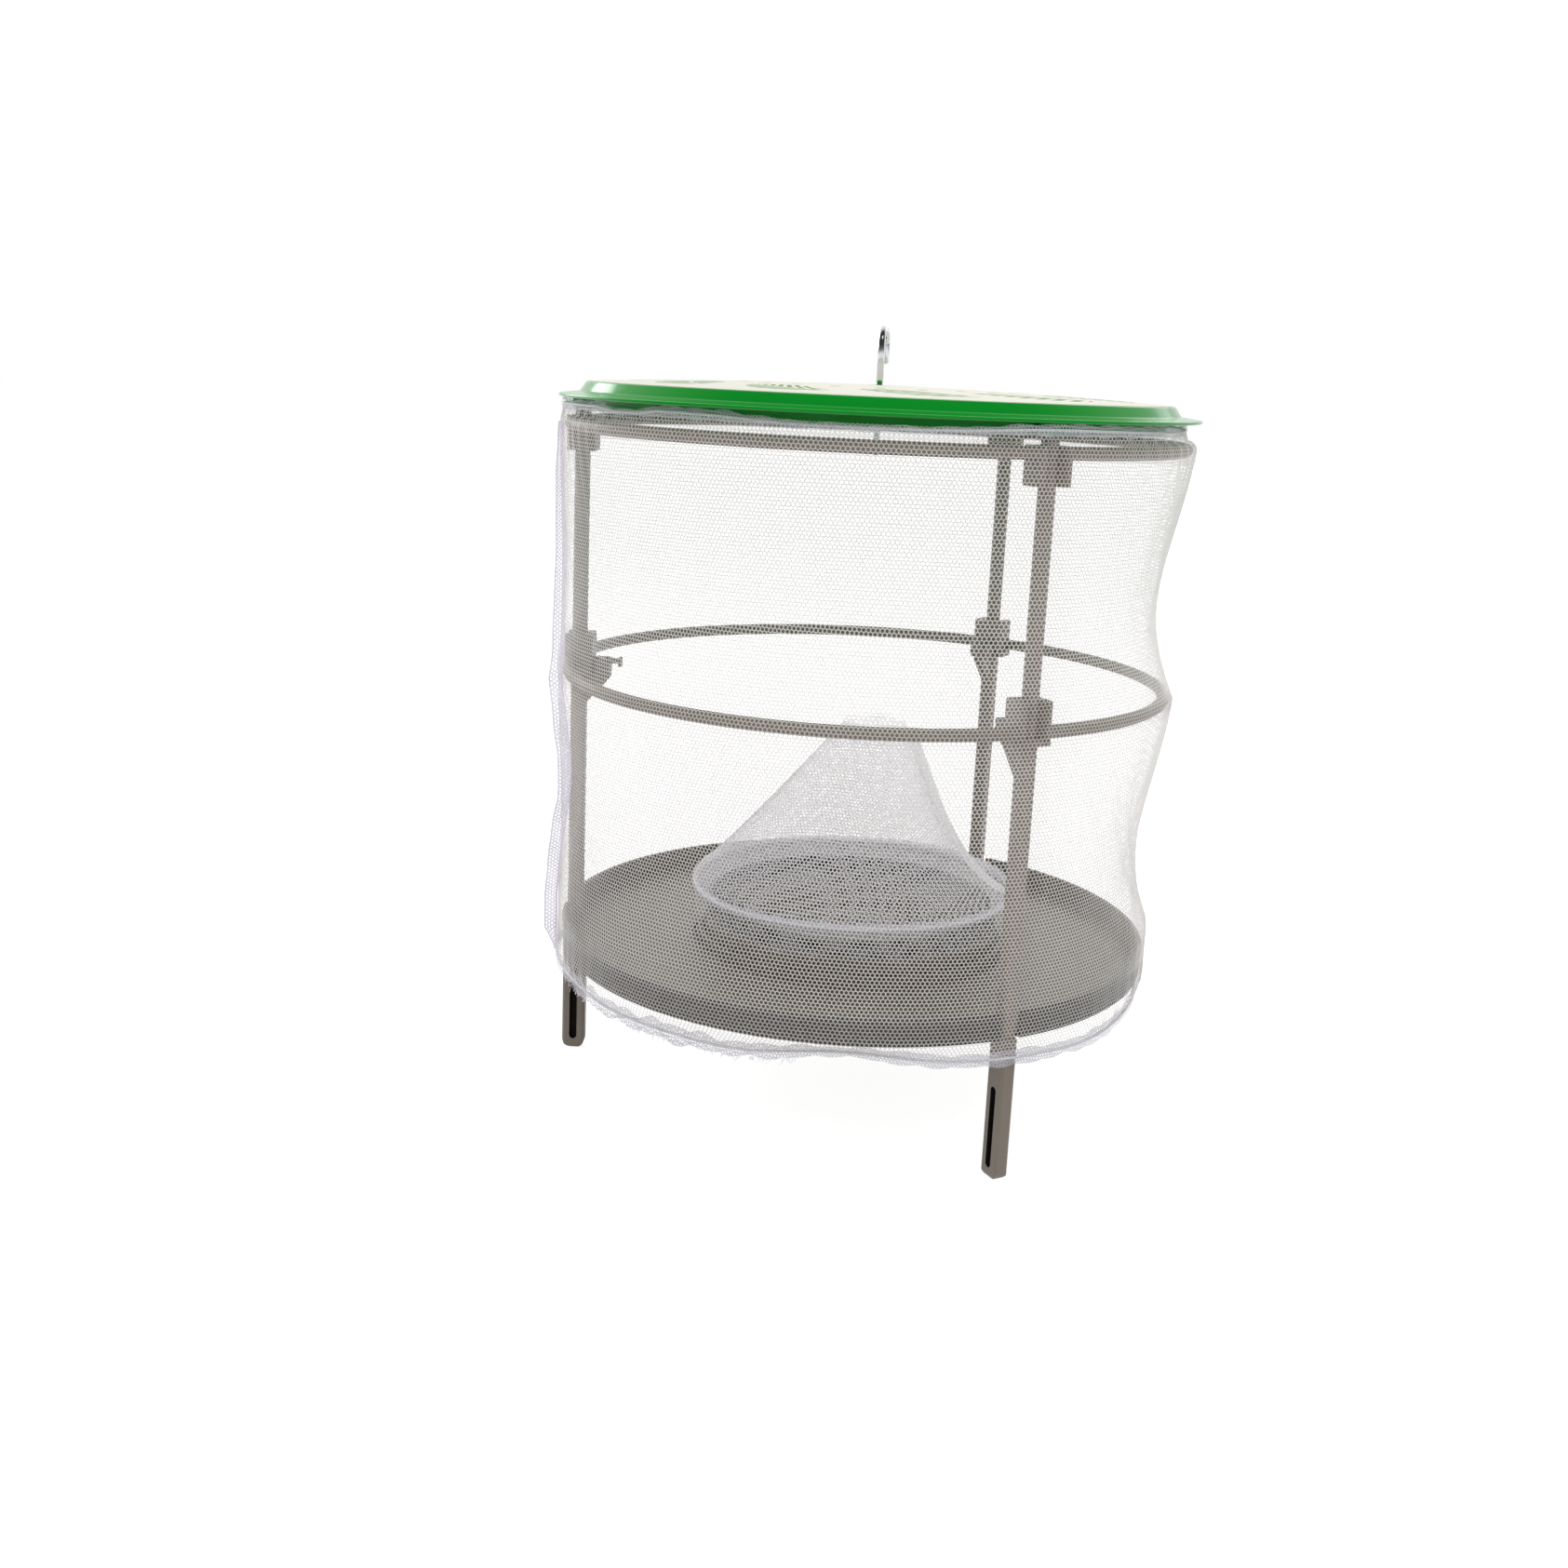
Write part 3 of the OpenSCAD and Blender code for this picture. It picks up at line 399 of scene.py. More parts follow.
def floor_paper():
    make = new_material("paper_backdrop_white")
    colour = make.blend(make.noise(60, 2), "#b4b4b4", "#b9b9b9")
    matte = make.node("BsdfDiffuse", {"Color": colour})
    path = make.node("LightPath").outputs
    seen = make.largest(path["Is Camera Ray"], path["Is Glossy Ray"], path["Is Transmission Ray"])
    strength = make.math("MULTIPLY", seen, FLOOR_GLOW)
    glow = make.node("Emission", {"Color": WHITE, "Strength": strength})
    shader = make.node("AddShader", {0: matte.outputs[0], 1: glow.outputs[0]})
    return make.finish(shader)


floor_shape = bmesh.new()
bmesh.ops.create_grid(floor_shape, x_segments=1, y_segments=1, size=FLOOR_SIZE / 2)
floor_mesh = bpy.data.meshes.new("floor")
floor_shape.to_mesh(floor_mesh)
floor_shape.free()
floor_mesh.materials.append(floor_paper())
floor = bpy.data.objects.new("floor", floor_mesh)
bpy.context.scene.collection.objects.link(floor)
print("floor:", FLOOR_SIZE, "m wide")

# %% World
FRONT_LIGHT, BACK_LIGHT, DARK_ROOM = 0.85, 1.0, 0.04
world = bpy.data.worlds.new("studio")
sky = Maker(world)
to_the_back = sky.node("SeparateXYZ", {0: sky.coordinates["Generated"]}).outputs[1]
room_light = sky.remap(to_the_back, -0.9, 0.9, FRONT_LIGHT, BACK_LIGHT, "SMOOTHSTEP")
mirrored = sky.remap(to_the_back, -0.1, 0.4, DARK_ROOM, 1.0)
path = sky.node("LightPath").outputs
level = sky.node("Mix", {0: path["Is Glossy Ray"], 2: room_light, 3: mirrored}).outputs[0]
seen = sky.largest(path["Is Camera Ray"], path["Is Transmission Ray"])
level = sky.node("Mix", {0: seen, 2: level, 3: 1.0}).outputs[0]
light = sky.node("Background", {"Color": WHITE, "Strength": level})
sky.node("OutputWorld", {"Surface": light.outputs[0]})
bpy.context.scene.world = world
print("world:", len(sky.tree.nodes), "nodes")

# %% Lamps
LAMP_AIM = Vector((0, 0, 0.15))


def softbox(name, place, width, height, power):
    """A rectangular area lamp aimed at the middle of the cage."""
    lamp = bpy.data.lights.new(name, "AREA")
    lamp.shape = "RECTANGLE"
    lamp.size, lamp.size_y, lamp.energy = width, height, power
    holder = bpy.data.objects.new(name, lamp)
    holder.location = place
    holder.rotation_euler = (LAMP_AIM - Vector(place)).to_track_quat("-Z", "Y").to_euler()
    bpy.context.scene.collection.objects.link(holder)
    print(name, power, "W")


softbox("key_softbox", (-1.2, 0.9, 0.6), 0.9, 0.6, 9)
softbox("fill_softbox", (0.5, -1.2, 1.3), 0.9, 0.5, 2)
softbox("back_softbox", (0.5, 1.3, 0.9), 1.2, 0.6, 2)
bpy.context.scene.view_settings.view_transform = "Standard"

# %% [markdown]
# ## Turning a bmesh into a piece
#
# Each piece is finished the same way: the mesh gets its material, smooth shading with
# sharp creases kept, and a ride on the body that it moves with. Each one is printed.

# %% Helpers for pieces
CREASE = math.radians(32)
MERGE = 0.001 * MM


def make_piece(name, shape, material, body, stands_for=()):
    """Turns a bmesh into a piece at the origin, riding on a body and standing for some nodes."""
    mesh = bpy.data.meshes.new(name)
    shape.to_mesh(mesh)
    shape.free()
    mesh.materials.append(material)
    mesh.shade_smooth()
    mesh.set_sharp_from_angle(angle=CREASE)
    piece = bpy.data.objects.new(name, mesh)
    bpy.context.scene.collection.objects.link(piece)
    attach(piece, body)
    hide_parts(*stands_for)
    print(name, "on", body, "with", len(mesh.polygons), "faces")
    return piece


def flat_grid(columns, rows):
    """A grid of faces from -0.5 to 0.5 both ways."""
    grid = bmesh.new()
    bmesh.ops.create_grid(grid, x_segments=columns, y_segments=rows, size=0.5)
    return grid


def soften_edges(piece, width, segments=2):
    """Rounds a piece's creases by a radius in millimetres, as a moulding tool does."""
    bevel = piece.modifiers.new("soft edges", "BEVEL")
    bevel.width = width * MM
    bevel.segments = segments
    bevel.limit_method = "ANGLE"
    bevel.angle_limit = CREASE
    bevel.harden_normals = True
    return piece


# %% [markdown]
# ## The moulded frame
#
# What the frame's shapes lack is a small radius along each edge, which catches a line
# of light. A copy of each node is merged, its flat faces joined, and a Bevel modifier
# rounds the edges.

# %% Rings, posts, legs, tray and cup
def softened_copy(name, node, width, material):
    shape = bmesh.new()
    shape.from_mesh(frame["nodes"][node].data)
    bmesh.ops.remove_doubles(shape, verts=shape.verts, dist=MERGE)
    bmesh.ops.dissolve_limit(shape, angle_limit=math.radians(0.5), verts=shape.verts, edges=shape.edges)
    body = frame["nodes"][node]["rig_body"]
    return soften_edges(make_piece(name, shape, material, body, [node]), width)


LEG_ANGLES = {"left": math.pi, "front": -math.pi / 3, "back": math.pi / 3}
FRAME_EDGE = {
    "top_ring": 0.3,
    "middle_ring": 0.3,
    **{f"upper_post_{side}": 0.2 for side in LEG_ANGLES},
    **{f"lower_leg_{side}": 0.22 for side in LEG_ANGLES},
    "tray": 0.4,
    "bait_cup": 0.35,
}
LEG_AXIS_R, HOLLOW_HALF_T, HOLLOW_HALF_W, HOLLOW_LOW, HOLLOW_HIGH = 117, 2.9, 1.7, 4, 37


def darken_hollow(piece, angle):
    """Paints the inside of both slots in a foot with painted shade."""
    piece.data.materials.append(HOLLOW)
    square_on = Matrix.Rotation(-angle, 3, "Z")
    for face in piece.data.polygons:
        place = square_on @ face.center / MM
        narrow = abs(place.y) < HOLLOW_HALF_T and abs(place.x - LEG_AXIS_R) < HOLLOW_HALF_W
        if narrow and HOLLOW_LOW < place.z < HOLLOW_HIGH:
            face.material_index = 1


for node, width in FRAME_EDGE.items():
    frame_finish = TRAY_TAUPE if node in ("tray", "bait_cup") else TAUPE
    piece = softened_copy(node + "_moulding", node, width, frame_finish)
    if node.startswith("lower_leg"):
        darken_hollow(piece, LEG_ANGLES[node.split("_")[-1]])

# %% [markdown]
# ## The lid
#
# The lid is round, so it is spun: a closed outline of the wall is turned once round
# by bmesh.ops.spin. The hole for the hook comes free, because the outline starts
# beside the axis. Boss and sockets are spun too.

# %% Spin an outline round a vertical axis
def spun(shape, outline, steps, centre=(0, 0)):
    """Adds a closed outline of (radius, height) points in mm, turned once round an axis."""
    corners = [shape.verts.new(((centre[0] + r) * MM, centre[1] * MM, z * MM)) for r, z in outline]
    sides = [shape.edges.new(pair) for pair in zip(corners, corners[1:] + corners[:1])]
    axis = {"cent": (centre[0] * MM, centre[1] * MM, 0), "axis": (0, 0, 1)}
    bmesh.ops.spin(shape, geom=corners + sides, **axis, angle=math.tau, steps=steps, use_merge=True)


# %% Lid shell with its boss and sockets
SOCKET_R, SOCKET_BORE, SOCKET_DROP, SOCKET_DEPTH = 4.3, 2.06, 4.8, 4.06
lid_low, lid_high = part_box("lid")
LID_R = lid_high.x / MM
LID_Z = lid_low.z / MM + SOCKET_DROP
LIP_T, LIP_W, LIP_RISE = 1.2, 8.0, 1.0
STEP_RUN, PLATE_H, PLATE_T = 2.6, 6.0, 2.0
CROWN_H = lid_high.z / MM - LID_Z - PLATE_H
SKIRT_INSET, SKIRT_T, SKIRT_DROP = 13.0, 1.8, 4.6
POST_INSET = 8
POST_R = LID_R - POST_INSET
PLATE_R = LID_R - LIP_W - STEP_RUN
SHANK_BORE, BOSS_R = 1.48, 4.5
LID_STEPS, BOSS_STEPS, SOCKET_STEPS = 240, 48, 40


def crown(radius):
    """Height of the lid's plate above its edge at a radius, in mm."""
    return CROWN_H * (1 - (radius / PLATE_R) ** 2)


plate_z = LID_Z + PLATE_H
crown_radii = [SHANK_BORE, *np.linspace(14, PLATE_R, 8)]
skirt_r = LID_R - SKIRT_INSET
lid_outline = [
    *[(r, plate_z + crown(r)) for r in crown_radii],
    (PLATE_R + STEP_RUN, LID_Z + LIP_T + LIP_RISE),
    (LID_R, LID_Z + LIP_T),
    (LID_R, LID_Z),
    (skirt_r, LID_Z),
    (skirt_r, LID_Z - SKIRT_DROP),
    (skirt_r - SKIRT_T, LID_Z - SKIRT_DROP),
    (skirt_r - SKIRT_T, plate_z - PLATE_T),
    *[(r, plate_z - PLATE_T + crown(r)) for r in reversed(crown_radii[:-1])],
]
lid_shape = bmesh.new()
spun(lid_shape, lid_outline, LID_STEPS)
boss_top = plate_z - PLATE_T / 2
boss = [(SHANK_BORE, LID_Z), (BOSS_R, LID_Z), (BOSS_R, boss_top), (SHANK_BORE, boss_top)]
spun(lid_shape, boss, BOSS_STEPS)
for angle in LEG_ANGLES.values():
    socket_z = LID_Z - SOCKET_DROP
    socket = [
        (0, socket_z + SOCKET_DEPTH),
        (SOCKET_BORE, socket_z + SOCKET_DEPTH),
        (SOCKET_BORE, socket_z),
        (SOCKET_R, socket_z),
        (SOCKET_R, LID_Z + LIP_T / 2),
        (0, LID_Z + LIP_T / 2),
    ]
    spun(lid_shape, socket, SOCKET_STEPS, (POST_R * math.cos(angle), POST_R * math.sin(angle)))
bmesh.ops.remove_doubles(lid_shape, verts=lid_shape.verts, dist=MERGE)
bmesh.ops.recalc_face_normals(lid_shape, faces=lid_shape.faces)
soften_edges(make_piece("lid_shell", lid_shape, GREEN, "lid", ["lid"]), 0.45, 3)

# %% [markdown]
# The film is spun from a thin outline that follows the plate's crown, so it can't
# float above the plate.

# %% Printed film
FILM_T, FILM_R, FILM_HOLE = 0.14, 113.3, 5.5
film_radii = np.linspace(FILM_HOLE, FILM_R, 9)
film_outline = [
    *[(r, plate_z + crown(r) + FILM_T) for r in film_radii],
    *[(r, plate_z + crown(r) - FILM_T / 2) for r in reversed(film_radii)],
]
film_shape = bmesh.new()
spun(film_shape, film_outline, LID_STEPS)
bmesh.ops.recalc_face_normals(film_shape, faces=film_shape.faces)
make_piece("lid_printed_film", film_shape, FILM, "lid")

# %% [markdown]
# ## The hook
#
# A wire hook is one circle moved along a path. extrude moves it up the shank, spin
# swings it round the bend, and a last extrude makes the free end. The lower shank is
# threaded: its core is thinner, and a small ridge is spun round it with a rise.

# %% Bend the wire
hook_low, hook_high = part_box("hanging_hook")
WIRE_R, CORE_R, BEND_R, BEND_STEPS, TIP_L, TIP_STEPS = 1.4, 1.2, 5.5, 28, 6.5, 5
CHAMFER, SHOULDER = 0.3, 0.4
HOOK_TURN = math.radians(80)
SHANK_Z = hook_low.z / MM
BEND_Z = hook_high.z / MM - WIRE_R - BEND_R
THREAD_TOP, THREAD_PITCH, STEPS_A_TURN = plate_z + 4, 0.7, 14


def push(shape, ring, shift, scale=1.0):
    """Extrudes a loop of edges by a shift in mm and scales the new loop about its middle."""
    made = bmesh.ops.extrude_edge_only(shape, edges=ring)["geom"]
    points = [part for part in made if isinstance(part, bmesh.types.BMVert)]
    bmesh.ops.translate(shape, verts=points, vec=Vector(shift) * MM)
    middle = sum((point.co for point in points), Vector()) / len(points)
    bmesh.ops.scale(shape, verts=points, vec=(scale,) * 3, space=Matrix.Translation(-middle))
    loop = set(points)
    return [part for part in made if isinstance(part, bmesh.types.BMEdge) and set(part.verts) <= loop]


hook_shape = bmesh.new()
start = bmesh.ops.create_circle(
    hook_shape, segments=24, radius=CORE_R * 0.8 * MM, matrix=Matrix.Translation((0, 0, SHANK_Z * MM))
)
ring = list({edge for vert in start["verts"] for edge in vert.link_edges})
bmesh.ops.contextual_create(hook_shape, geom=ring)
ring = push(hook_shape, ring, (0, 0, CHAMFER), 1.25)
ring = push(hook_shape, ring, (0, 0, THREAD_TOP - SHANK_Z - CHAMFER))
ring = push(hook_shape, ring, (0, 0, SHOULDER), WIRE_R / CORE_R)
ring = push(hook_shape, ring, (0, 0, BEND_Z - THREAD_TOP - SHOULDER))
bend = {"cent": (BEND_R * MM, 0, BEND_Z * MM), "axis": (0, 1, 0)}
bent = bmesh.ops.spin(hook_shape, geom=ring, **bend, angle=math.pi, steps=BEND_STEPS)
ring = [part for part in bent["geom_last"] if isinstance(part, bmesh.types.BMEdge)]
ring = push(hook_shape, ring, (0, 0, -TIP_L))
for step in range(1, TIP_STEPS + 1):
    before, now = (math.pi / 2 * k / TIP_STEPS for k in (step - 1, step))
    drop = WIRE_R * (math.sin(now) - math.sin(before))
    ring = push(hook_shape, ring, (0, 0, -drop), max(math.cos(now), 0.05) / math.cos(before))
bmesh.ops.contextual_create(hook_shape, geom=ring)
print("wire:", len(hook_shape.verts), "points")

# %% Cut the thread and turn the hook
ridge = [
    hook_shape.verts.new((r * MM, 0, (SHANK_Z + 0.5 + z) * MM))
    for r, z in ((CORE_R - 0.05, -0.3), (WIRE_R - 0.02, 0), (CORE_R - 0.05, 0.3))
]
turns = (THREAD_TOP - SHANK_Z - 1.2) / THREAD_PITCH
steps = round(turns * STEPS_A_TURN)
rise = {"cent": (0, 0, 0), "axis": (0, 0, 1), "dvec": (0, 0, THREAD_PITCH * turns / steps * MM)}
bmesh.ops.spin(hook_shape, geom=[hook_shape.faces.new(ridge)], **rise, angle=math.tau * turns, steps=steps)
bmesh.ops.recalc_face_normals(hook_shape, faces=hook_shape.faces)
bmesh.ops.rotate(hook_shape, verts=hook_shape.verts, matrix=Matrix.Rotation(HOOK_TURN, 3, "Z"))
make_piece("hook_wire", hook_shape, CHROME, "hook", ["hanging_hook"])
softened_copy("hook_washer_plated", "hook_washer", 0.08, ZINC)
softened_copy("hook_nut_plated", "hook_nut", 0.15, ZINC)

# %% [markdown]
# ## Knitted net
#
# The net has tens of thousands of open meshes, 1.6 mm apart. A texture would look flat
# from near, so each thread is real. A hexagon is repeated by two Array modifiers, each
# cell is inset, and the middle is deleted: what stays is a thread round every hole. The
# inset can also sink, which leaves a ridge along each thread, so that a slanting look
# finds more thread and less hole. All this happens on a flat sheet, as the cloth is
# knitted, and is wrapped round the cage after.

# %% Flat sheets to wrap
MESH_PITCH = 1.6


def row_step(pitch):
    """How far apart the rows of a knitted sheet are, in mm."""
    return pitch * math.sqrt(3) / 2


ROW_STEP = row_step(MESH_PITCH)


def flat_net(columns, rows, pitch, thread, first=0, ridge=0.0):
    """A knitted sheet in mm, as a bmesh: open hexagons with threads between them, ridged like a roof."""
    cell_r = pitch / math.sqrt(3)
    pair = bmesh.new()
    for shift in ((0, 0, 0), (pitch / 2, cell_r * 1.5, 0)):
        place = Matrix.Translation((first * pitch + shift[0], cell_r + shift[1], 0))
        bmesh.ops.create_circle(pair, cap_ends=True, segments=6, radius=cell_r, matrix=place)
    mesh = bpy.data.meshes.new("cells")
    pair.to_mesh(mesh)
    pair.free()
    cells = bpy.data.objects.new("cells", mesh)
    bpy.context.scene.collection.objects.link(cells)
    for count, offset in ((columns, (pitch, 0, 0)), (math.ceil(rows / 2), (0, 3 * cell_r, 0))):
        repeat = cells.modifiers.new("repeat", "ARRAY")
        repeat.count = count
        repeat.use_relative_offset = False
        repeat.use_constant_offset = True
        repeat.constant_offset_displace = offset
    bpy.context.view_layer.update()
    sheet = bmesh.new()
    sheet.from_object(cells, bpy.context.evaluated_depsgraph_get())
    bpy.data.objects.remove(cells)
    bpy.data.meshes.remove(mesh)
    bmesh.ops.remove_doubles(sheet, verts=sheet.verts, dist=pitch / 100)
    holes = list(sheet.faces)
    bmesh.ops.inset_individual(sheet, faces=holes, thickness=thread / 2, depth=-ridge, use_even_offset=True)
    bmesh.ops.delete(sheet, geom=holes, context="FACES_ONLY")
    return sheet


def wrap(piece, place, ridged=False):
    """Moves each point (u, v) of a flat piece to where place(u, v) says, in mm.

    Where the sheet is ridged, place also gets each point's height over the sheet.
    """
    mesh = piece.data
    flat = np.empty(len(mesh.vertices) * 3)
    mesh.vertices.foreach_get("co", flat)
    u, v, lift = flat.reshape(-1, 3).T
    moved = place(u, v, lift) if ridged else place(u, v)
    mesh.vertices.foreach_set("co", (np.stack(moved, axis=1) * MM).ravel())
    mesh.update()
    return piece


def polar(radius, angle, height):
    """The place of points at a radius, an angle and a height."""
    return radius * np.cos(angle), radius * np.sin(angle), height


# %% [markdown]
# ## Where the sleeve hangs
#
# Over a post the sleeve runs straight down. Between two posts nothing holds it, so it
# is drawn in to a waist. Two radii per height say this, one over a post and one between
# posts, and a function of the angle blends them. Ripples and puckers lie on top.

# %% The sleeve's profile
def heights(node):
    """A node's lowest and highest point, in mm."""
    return [corner.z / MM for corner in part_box(node)]


RING_T, NET_HALF, NET_GAP, BLOCK_PASS = 4.8, 0.35, 0.9, 0.4
MID_Z, TOP_Z = heights("middle_ring")[0] + RING_T / 2, heights("top_ring")[1] - RING_T / 2
TRAY_Z, TRAY_RIM_Z = heights("tray")
TRAY_OUTSET, RING_OUTSET, LEG_OUTSET = 4, 3, 4.8
TRAY_R, RING_R = POST_R + TRAY_OUTSET, POST_R + RING_OUTSET
RING_OUT = RING_R + RING_T / 2
POST_TOUCH, FOOT_TOUCH = RING_OUT + NET_GAP + BLOCK_PASS, POST_R + LEG_OUTSET + NET_GAP
WAIST_UPPER, WAIST_LOWER, SAG_SKEW, BAY_FLAT = 9.5, 8.5, 1.45, 0.6
TOP_DRAW, LOW_DRAW, HEM_HALF_T = 5.4, 4.4, 1.0
TUCK_SPREAD, TUCK_RISE, TUCK_IN = 0.3, 2.6, 3.2
TOP_HEM_Z, LOW_HEM_Z = (sum(heights(node)) / 2 for node in ("sleeve_top_hem", "sleeve_bottom_hem"))
BEND_ROWS, SPAN_ROWS = 9, 40
COLUMNS = 468
CLOTH_W = COLUMNS * MESH_PITCH


def bay(angle):
    """0 over a post and 1 half way between two posts."""
    return ((1 - np.cos(3 * (angle - math.pi))) / 2) ** BAY_FLAT


def waist(share):
    """How far the cloth is drawn in at a share of the way down a span."""
    return np.sin(math.pi * share**SAG_SKEW)


def sleeve_rows():
    """Rows down the sleeve in mm: height, radius over a post, radius between posts."""
    clear = NET_GAP + NET_HALF
    over_post = POST_TOUCH + NET_HALF
    rows = [(TOP_HEM_Z, POST_TOUCH - NET_GAP + HEM_HALF_T, POST_TOUCH - NET_GAP - TOP_DRAW + HEM_HALF_T)]
    for lift in np.linspace(math.pi / 2, 0, BEND_ROWS):
        reach = RING_T / 2 + clear
        rows.append((TOP_Z + reach * math.sin(lift), over_post, RING_R + reach * math.cos(lift)))
    for share in np.linspace(0, 1, SPAN_ROWS + 1)[1:]:
        between = RING_OUT + clear - WAIST_UPPER * waist(share)
        rows.append((TOP_Z + (MID_Z - TOP_Z) * share, over_post, between))
    for share in np.linspace(0, 1, SPAN_ROWS + 1)[1:]:
        post = POST_TOUCH + (FOOT_TOUCH - POST_TOUCH) * share + NET_HALF
        between = RING_OUT + (TRAY_R - RING_OUT) * share + clear - WAIST_LOWER * waist(share)
        rows.append((MID_Z + (TRAY_RIM_Z - MID_Z) * share, post, between))
    rows.append((TRAY_Z, FOOT_TOUCH + NET_HALF, TRAY_R + clear))
    rows.append((LOW_HEM_Z, FOOT_TOUCH + HEM_HALF_T, FOOT_TOUCH - LOW_DRAW + HEM_HALF_T))
    return np.array(rows)


ROWS = sleeve_rows()
between_posts = ROWS[:, [0, 2]]
ROW_LENGTHS = np.concatenate([[0], np.cumsum(np.linalg.norm(np.diff(between_posts, axis=0), axis=1))])
CLOTH_H = ROW_LENGTHS[-1]
print("sleeve cloth:", round(CLOTH_W), "by", round(CLOTH_H), "mm")


# %% The sleeve's surface
def ripple(angle, height):
    """Soft crossing waves from -1 to 1. Whole turns keep them closed round the cage."""
    waves = ((5, 0.021, 0.0), (9, -0.034, 1.9), (16, 0.052, 4.1), (29, -0.09, 2.6))
    return sum(np.sin(turns * angle + rise * height + start) for turns, rise, start in waves) / len(waves)


def tucked(angle):
    """1 where the elastic pulls the bottom hem in under the tray, in front, and 0 elsewhere."""
    off_front = (np.asarray(angle) + 1.5 * math.pi) % math.tau - math.pi
    return np.exp(-((off_front / TUCK_SPREAD) ** 2))


def puckers(angle, height):
    """Gathers that start at the hems and die away into the cloth."""
    crests = np.sin(88 * angle + 2 * np.sin(7 * angle))
    fade = np.exp((height - TOP_HEM_Z) / 15) + 0.8 * np.exp((LOW_HEM_Z - height) / 9)
    return crests * fade


def sleeve_surface(u, v, lift=0.0):
    """The place of a point of the sleeve's cloth: u round it, v down it, lift off it, all in mm."""
    angle = u / CLOTH_W * math.tau
    height, over_post, between = (np.interp(v, ROW_LENGTHS, ROWS[:, k]) for k in range(3))
    share = bay(angle)
    slack = 0.25 + 0.75 * share * np.interp(height, [TRAY_Z, 110, MID_Z, 215, TOP_Z], [0, 1, 0.1, 1, 0])
    radius = over_post + (between - over_post) * share + lift
    radius = radius + 0.9 * slack * ripple(angle, height) + 0.45 * puckers(angle, height)
    below_tray = np.clip((TRAY_Z - height) / (TRAY_Z - LOW_HEM_Z), 0, 1) * tucked(angle)
    radius, height = radius - TUCK_IN * below_tray, height + TUCK_RISE * below_tray
    return polar(radius, angle, height)


front = sleeve_surface(0.75 * CLOTH_W, CLOTH_H / 2)
print("front of the sleeve:", [round(float(way)) for way in front], "mm")

# %% [markdown]
# One sheet of this net would have more triangles than a piece should, so the sleeve
# is six panels. Their edges fall on the same zigzag of threads, and no line shows.

# %% Sleeve panels
THREAD, RIDGE = 0.42, 0.17
PANELS = 6
NET_ROWS = int(CLOTH_H / ROW_STEP)


def down_the_sleeve(u, v, lift):
    return sleeve_surface(u, v * CLOTH_H / (NET_ROWS * ROW_STEP), lift)


PANEL_COLUMNS = COLUMNS // PANELS
for panel in range(PANELS):
    sheet = flat_net(PANEL_COLUMNS, NET_ROWS, MESH_PITCH, THREAD, panel * PANEL_COLUMNS, RIDGE)
    piece = make_piece(f"sleeve_net_panel_{panel + 1}", sheet, NET, "root", ["sleeve_net"])
    wrap(piece, down_the_sleeve, ridged=True)

# %% [markdown]
# ## Hems and elastic
#
# Each end of the sleeve is folded over an elastic cord, which gathers it. The fold is
# a flattened tube of the same net, but gathered: its meshes are narrower, so it reads
# as denser. The tube is wrapped from a flat sheet like the sleeve.
#
# A net is mostly holes, so a sheet's cloth area is what its threads cover.

# %% Where the hems run
HEM_PITCH, HEM_THREAD = 1.25, 0.42
HEM_COLUMNS, HEM_HALF_W, ROUND_TUBE = 600, 0.85, 5
FRAY_FROM, FRAY_TO = math.radians(196), math.radians(262)


def top_hem_radius(angle):
    return POST_TOUCH - NET_GAP - TOP_DRAW * bay(angle) + HEM_HALF_T


def low_hem_radius(angle):
    return FOOT_TOUCH - LOW_DRAW * bay(angle) + HEM_HALF_T - TUCK_IN * tucked(angle)


def low_hem_height(angle):
    wave = 0.7 * np.sin(4 * angle + 0.5) + 0.4 * np.sin(11 * angle)
    return LOW_HEM_Z + TUCK_RISE * tucked(angle) + wave


def slipped(angle):
    """1 where the top hem has slipped down and lies narrow, which bares the lid's skirt."""
    places = ((0.5, 0.38), (0.77, 0.12))
    off = [((angle + turn * math.pi + math.pi) % math.tau - math.pi) / spread for turn, spread in places]
    return np.maximum(*[np.exp(-(way**4)) for way in off])


def top_hem_height(angle):
    return TOP_HEM_Z + 0.25 * np.sin(5 * angle + 1) - 1.3 * slipped(angle)


def top_hem_half(angle):
    return 2.0 - 1.0 * slipped(angle)


def low_hem_half(angle):
    return 2.7 - 0.8 * tucked(angle) + 0.3 * np.sin(17 * angle)


def low_hem_rumple(angle):
    """The fold has opened at the left of the front, and is untidy there."""
    opened = np.clip((np.asarray(angle) % math.tau - FRAY_FROM) / (FRAY_TO - FRAY_FROM), 0, 1)
    return 0.4 + 0.7 * np.sin(math.pi * opened)


top_line = (top_hem_radius, top_hem_height)
low_line = (low_hem_radius, low_hem_height)
print("hems in front:", [round(float(line(1.5 * math.pi)), 1) for line in (*top_line, *low_line)], "mm")


# %% Fold the hems
def steady(value):
    """A function of the angle that is the same all round."""
    return lambda angle: value + 0 * angle


def folded_tube(columns, rows, pitch, middle_r, middle_z, half_w, half_h, rumple):
    """A place function that rolls a flat sheet into a flattened tube that runs round the cage."""

    def place(u, v):
        angle = u / (columns * pitch) * math.tau
        way = v / (rows * row_step(pitch)) * math.tau
        rough = rumple(angle) * (np.sin(61 * angle + 3 * way) + 0.6 * np.sin(37 * angle + 1.3))
        radius = middle_r(angle) + (half_w + 0.4 * rough) * np.cos(way)
        height = middle_z(angle) + half_h(angle) * np.sin(way) + rough * np.abs(np.sin(way))
        return polar(radius, angle, height)

    return place


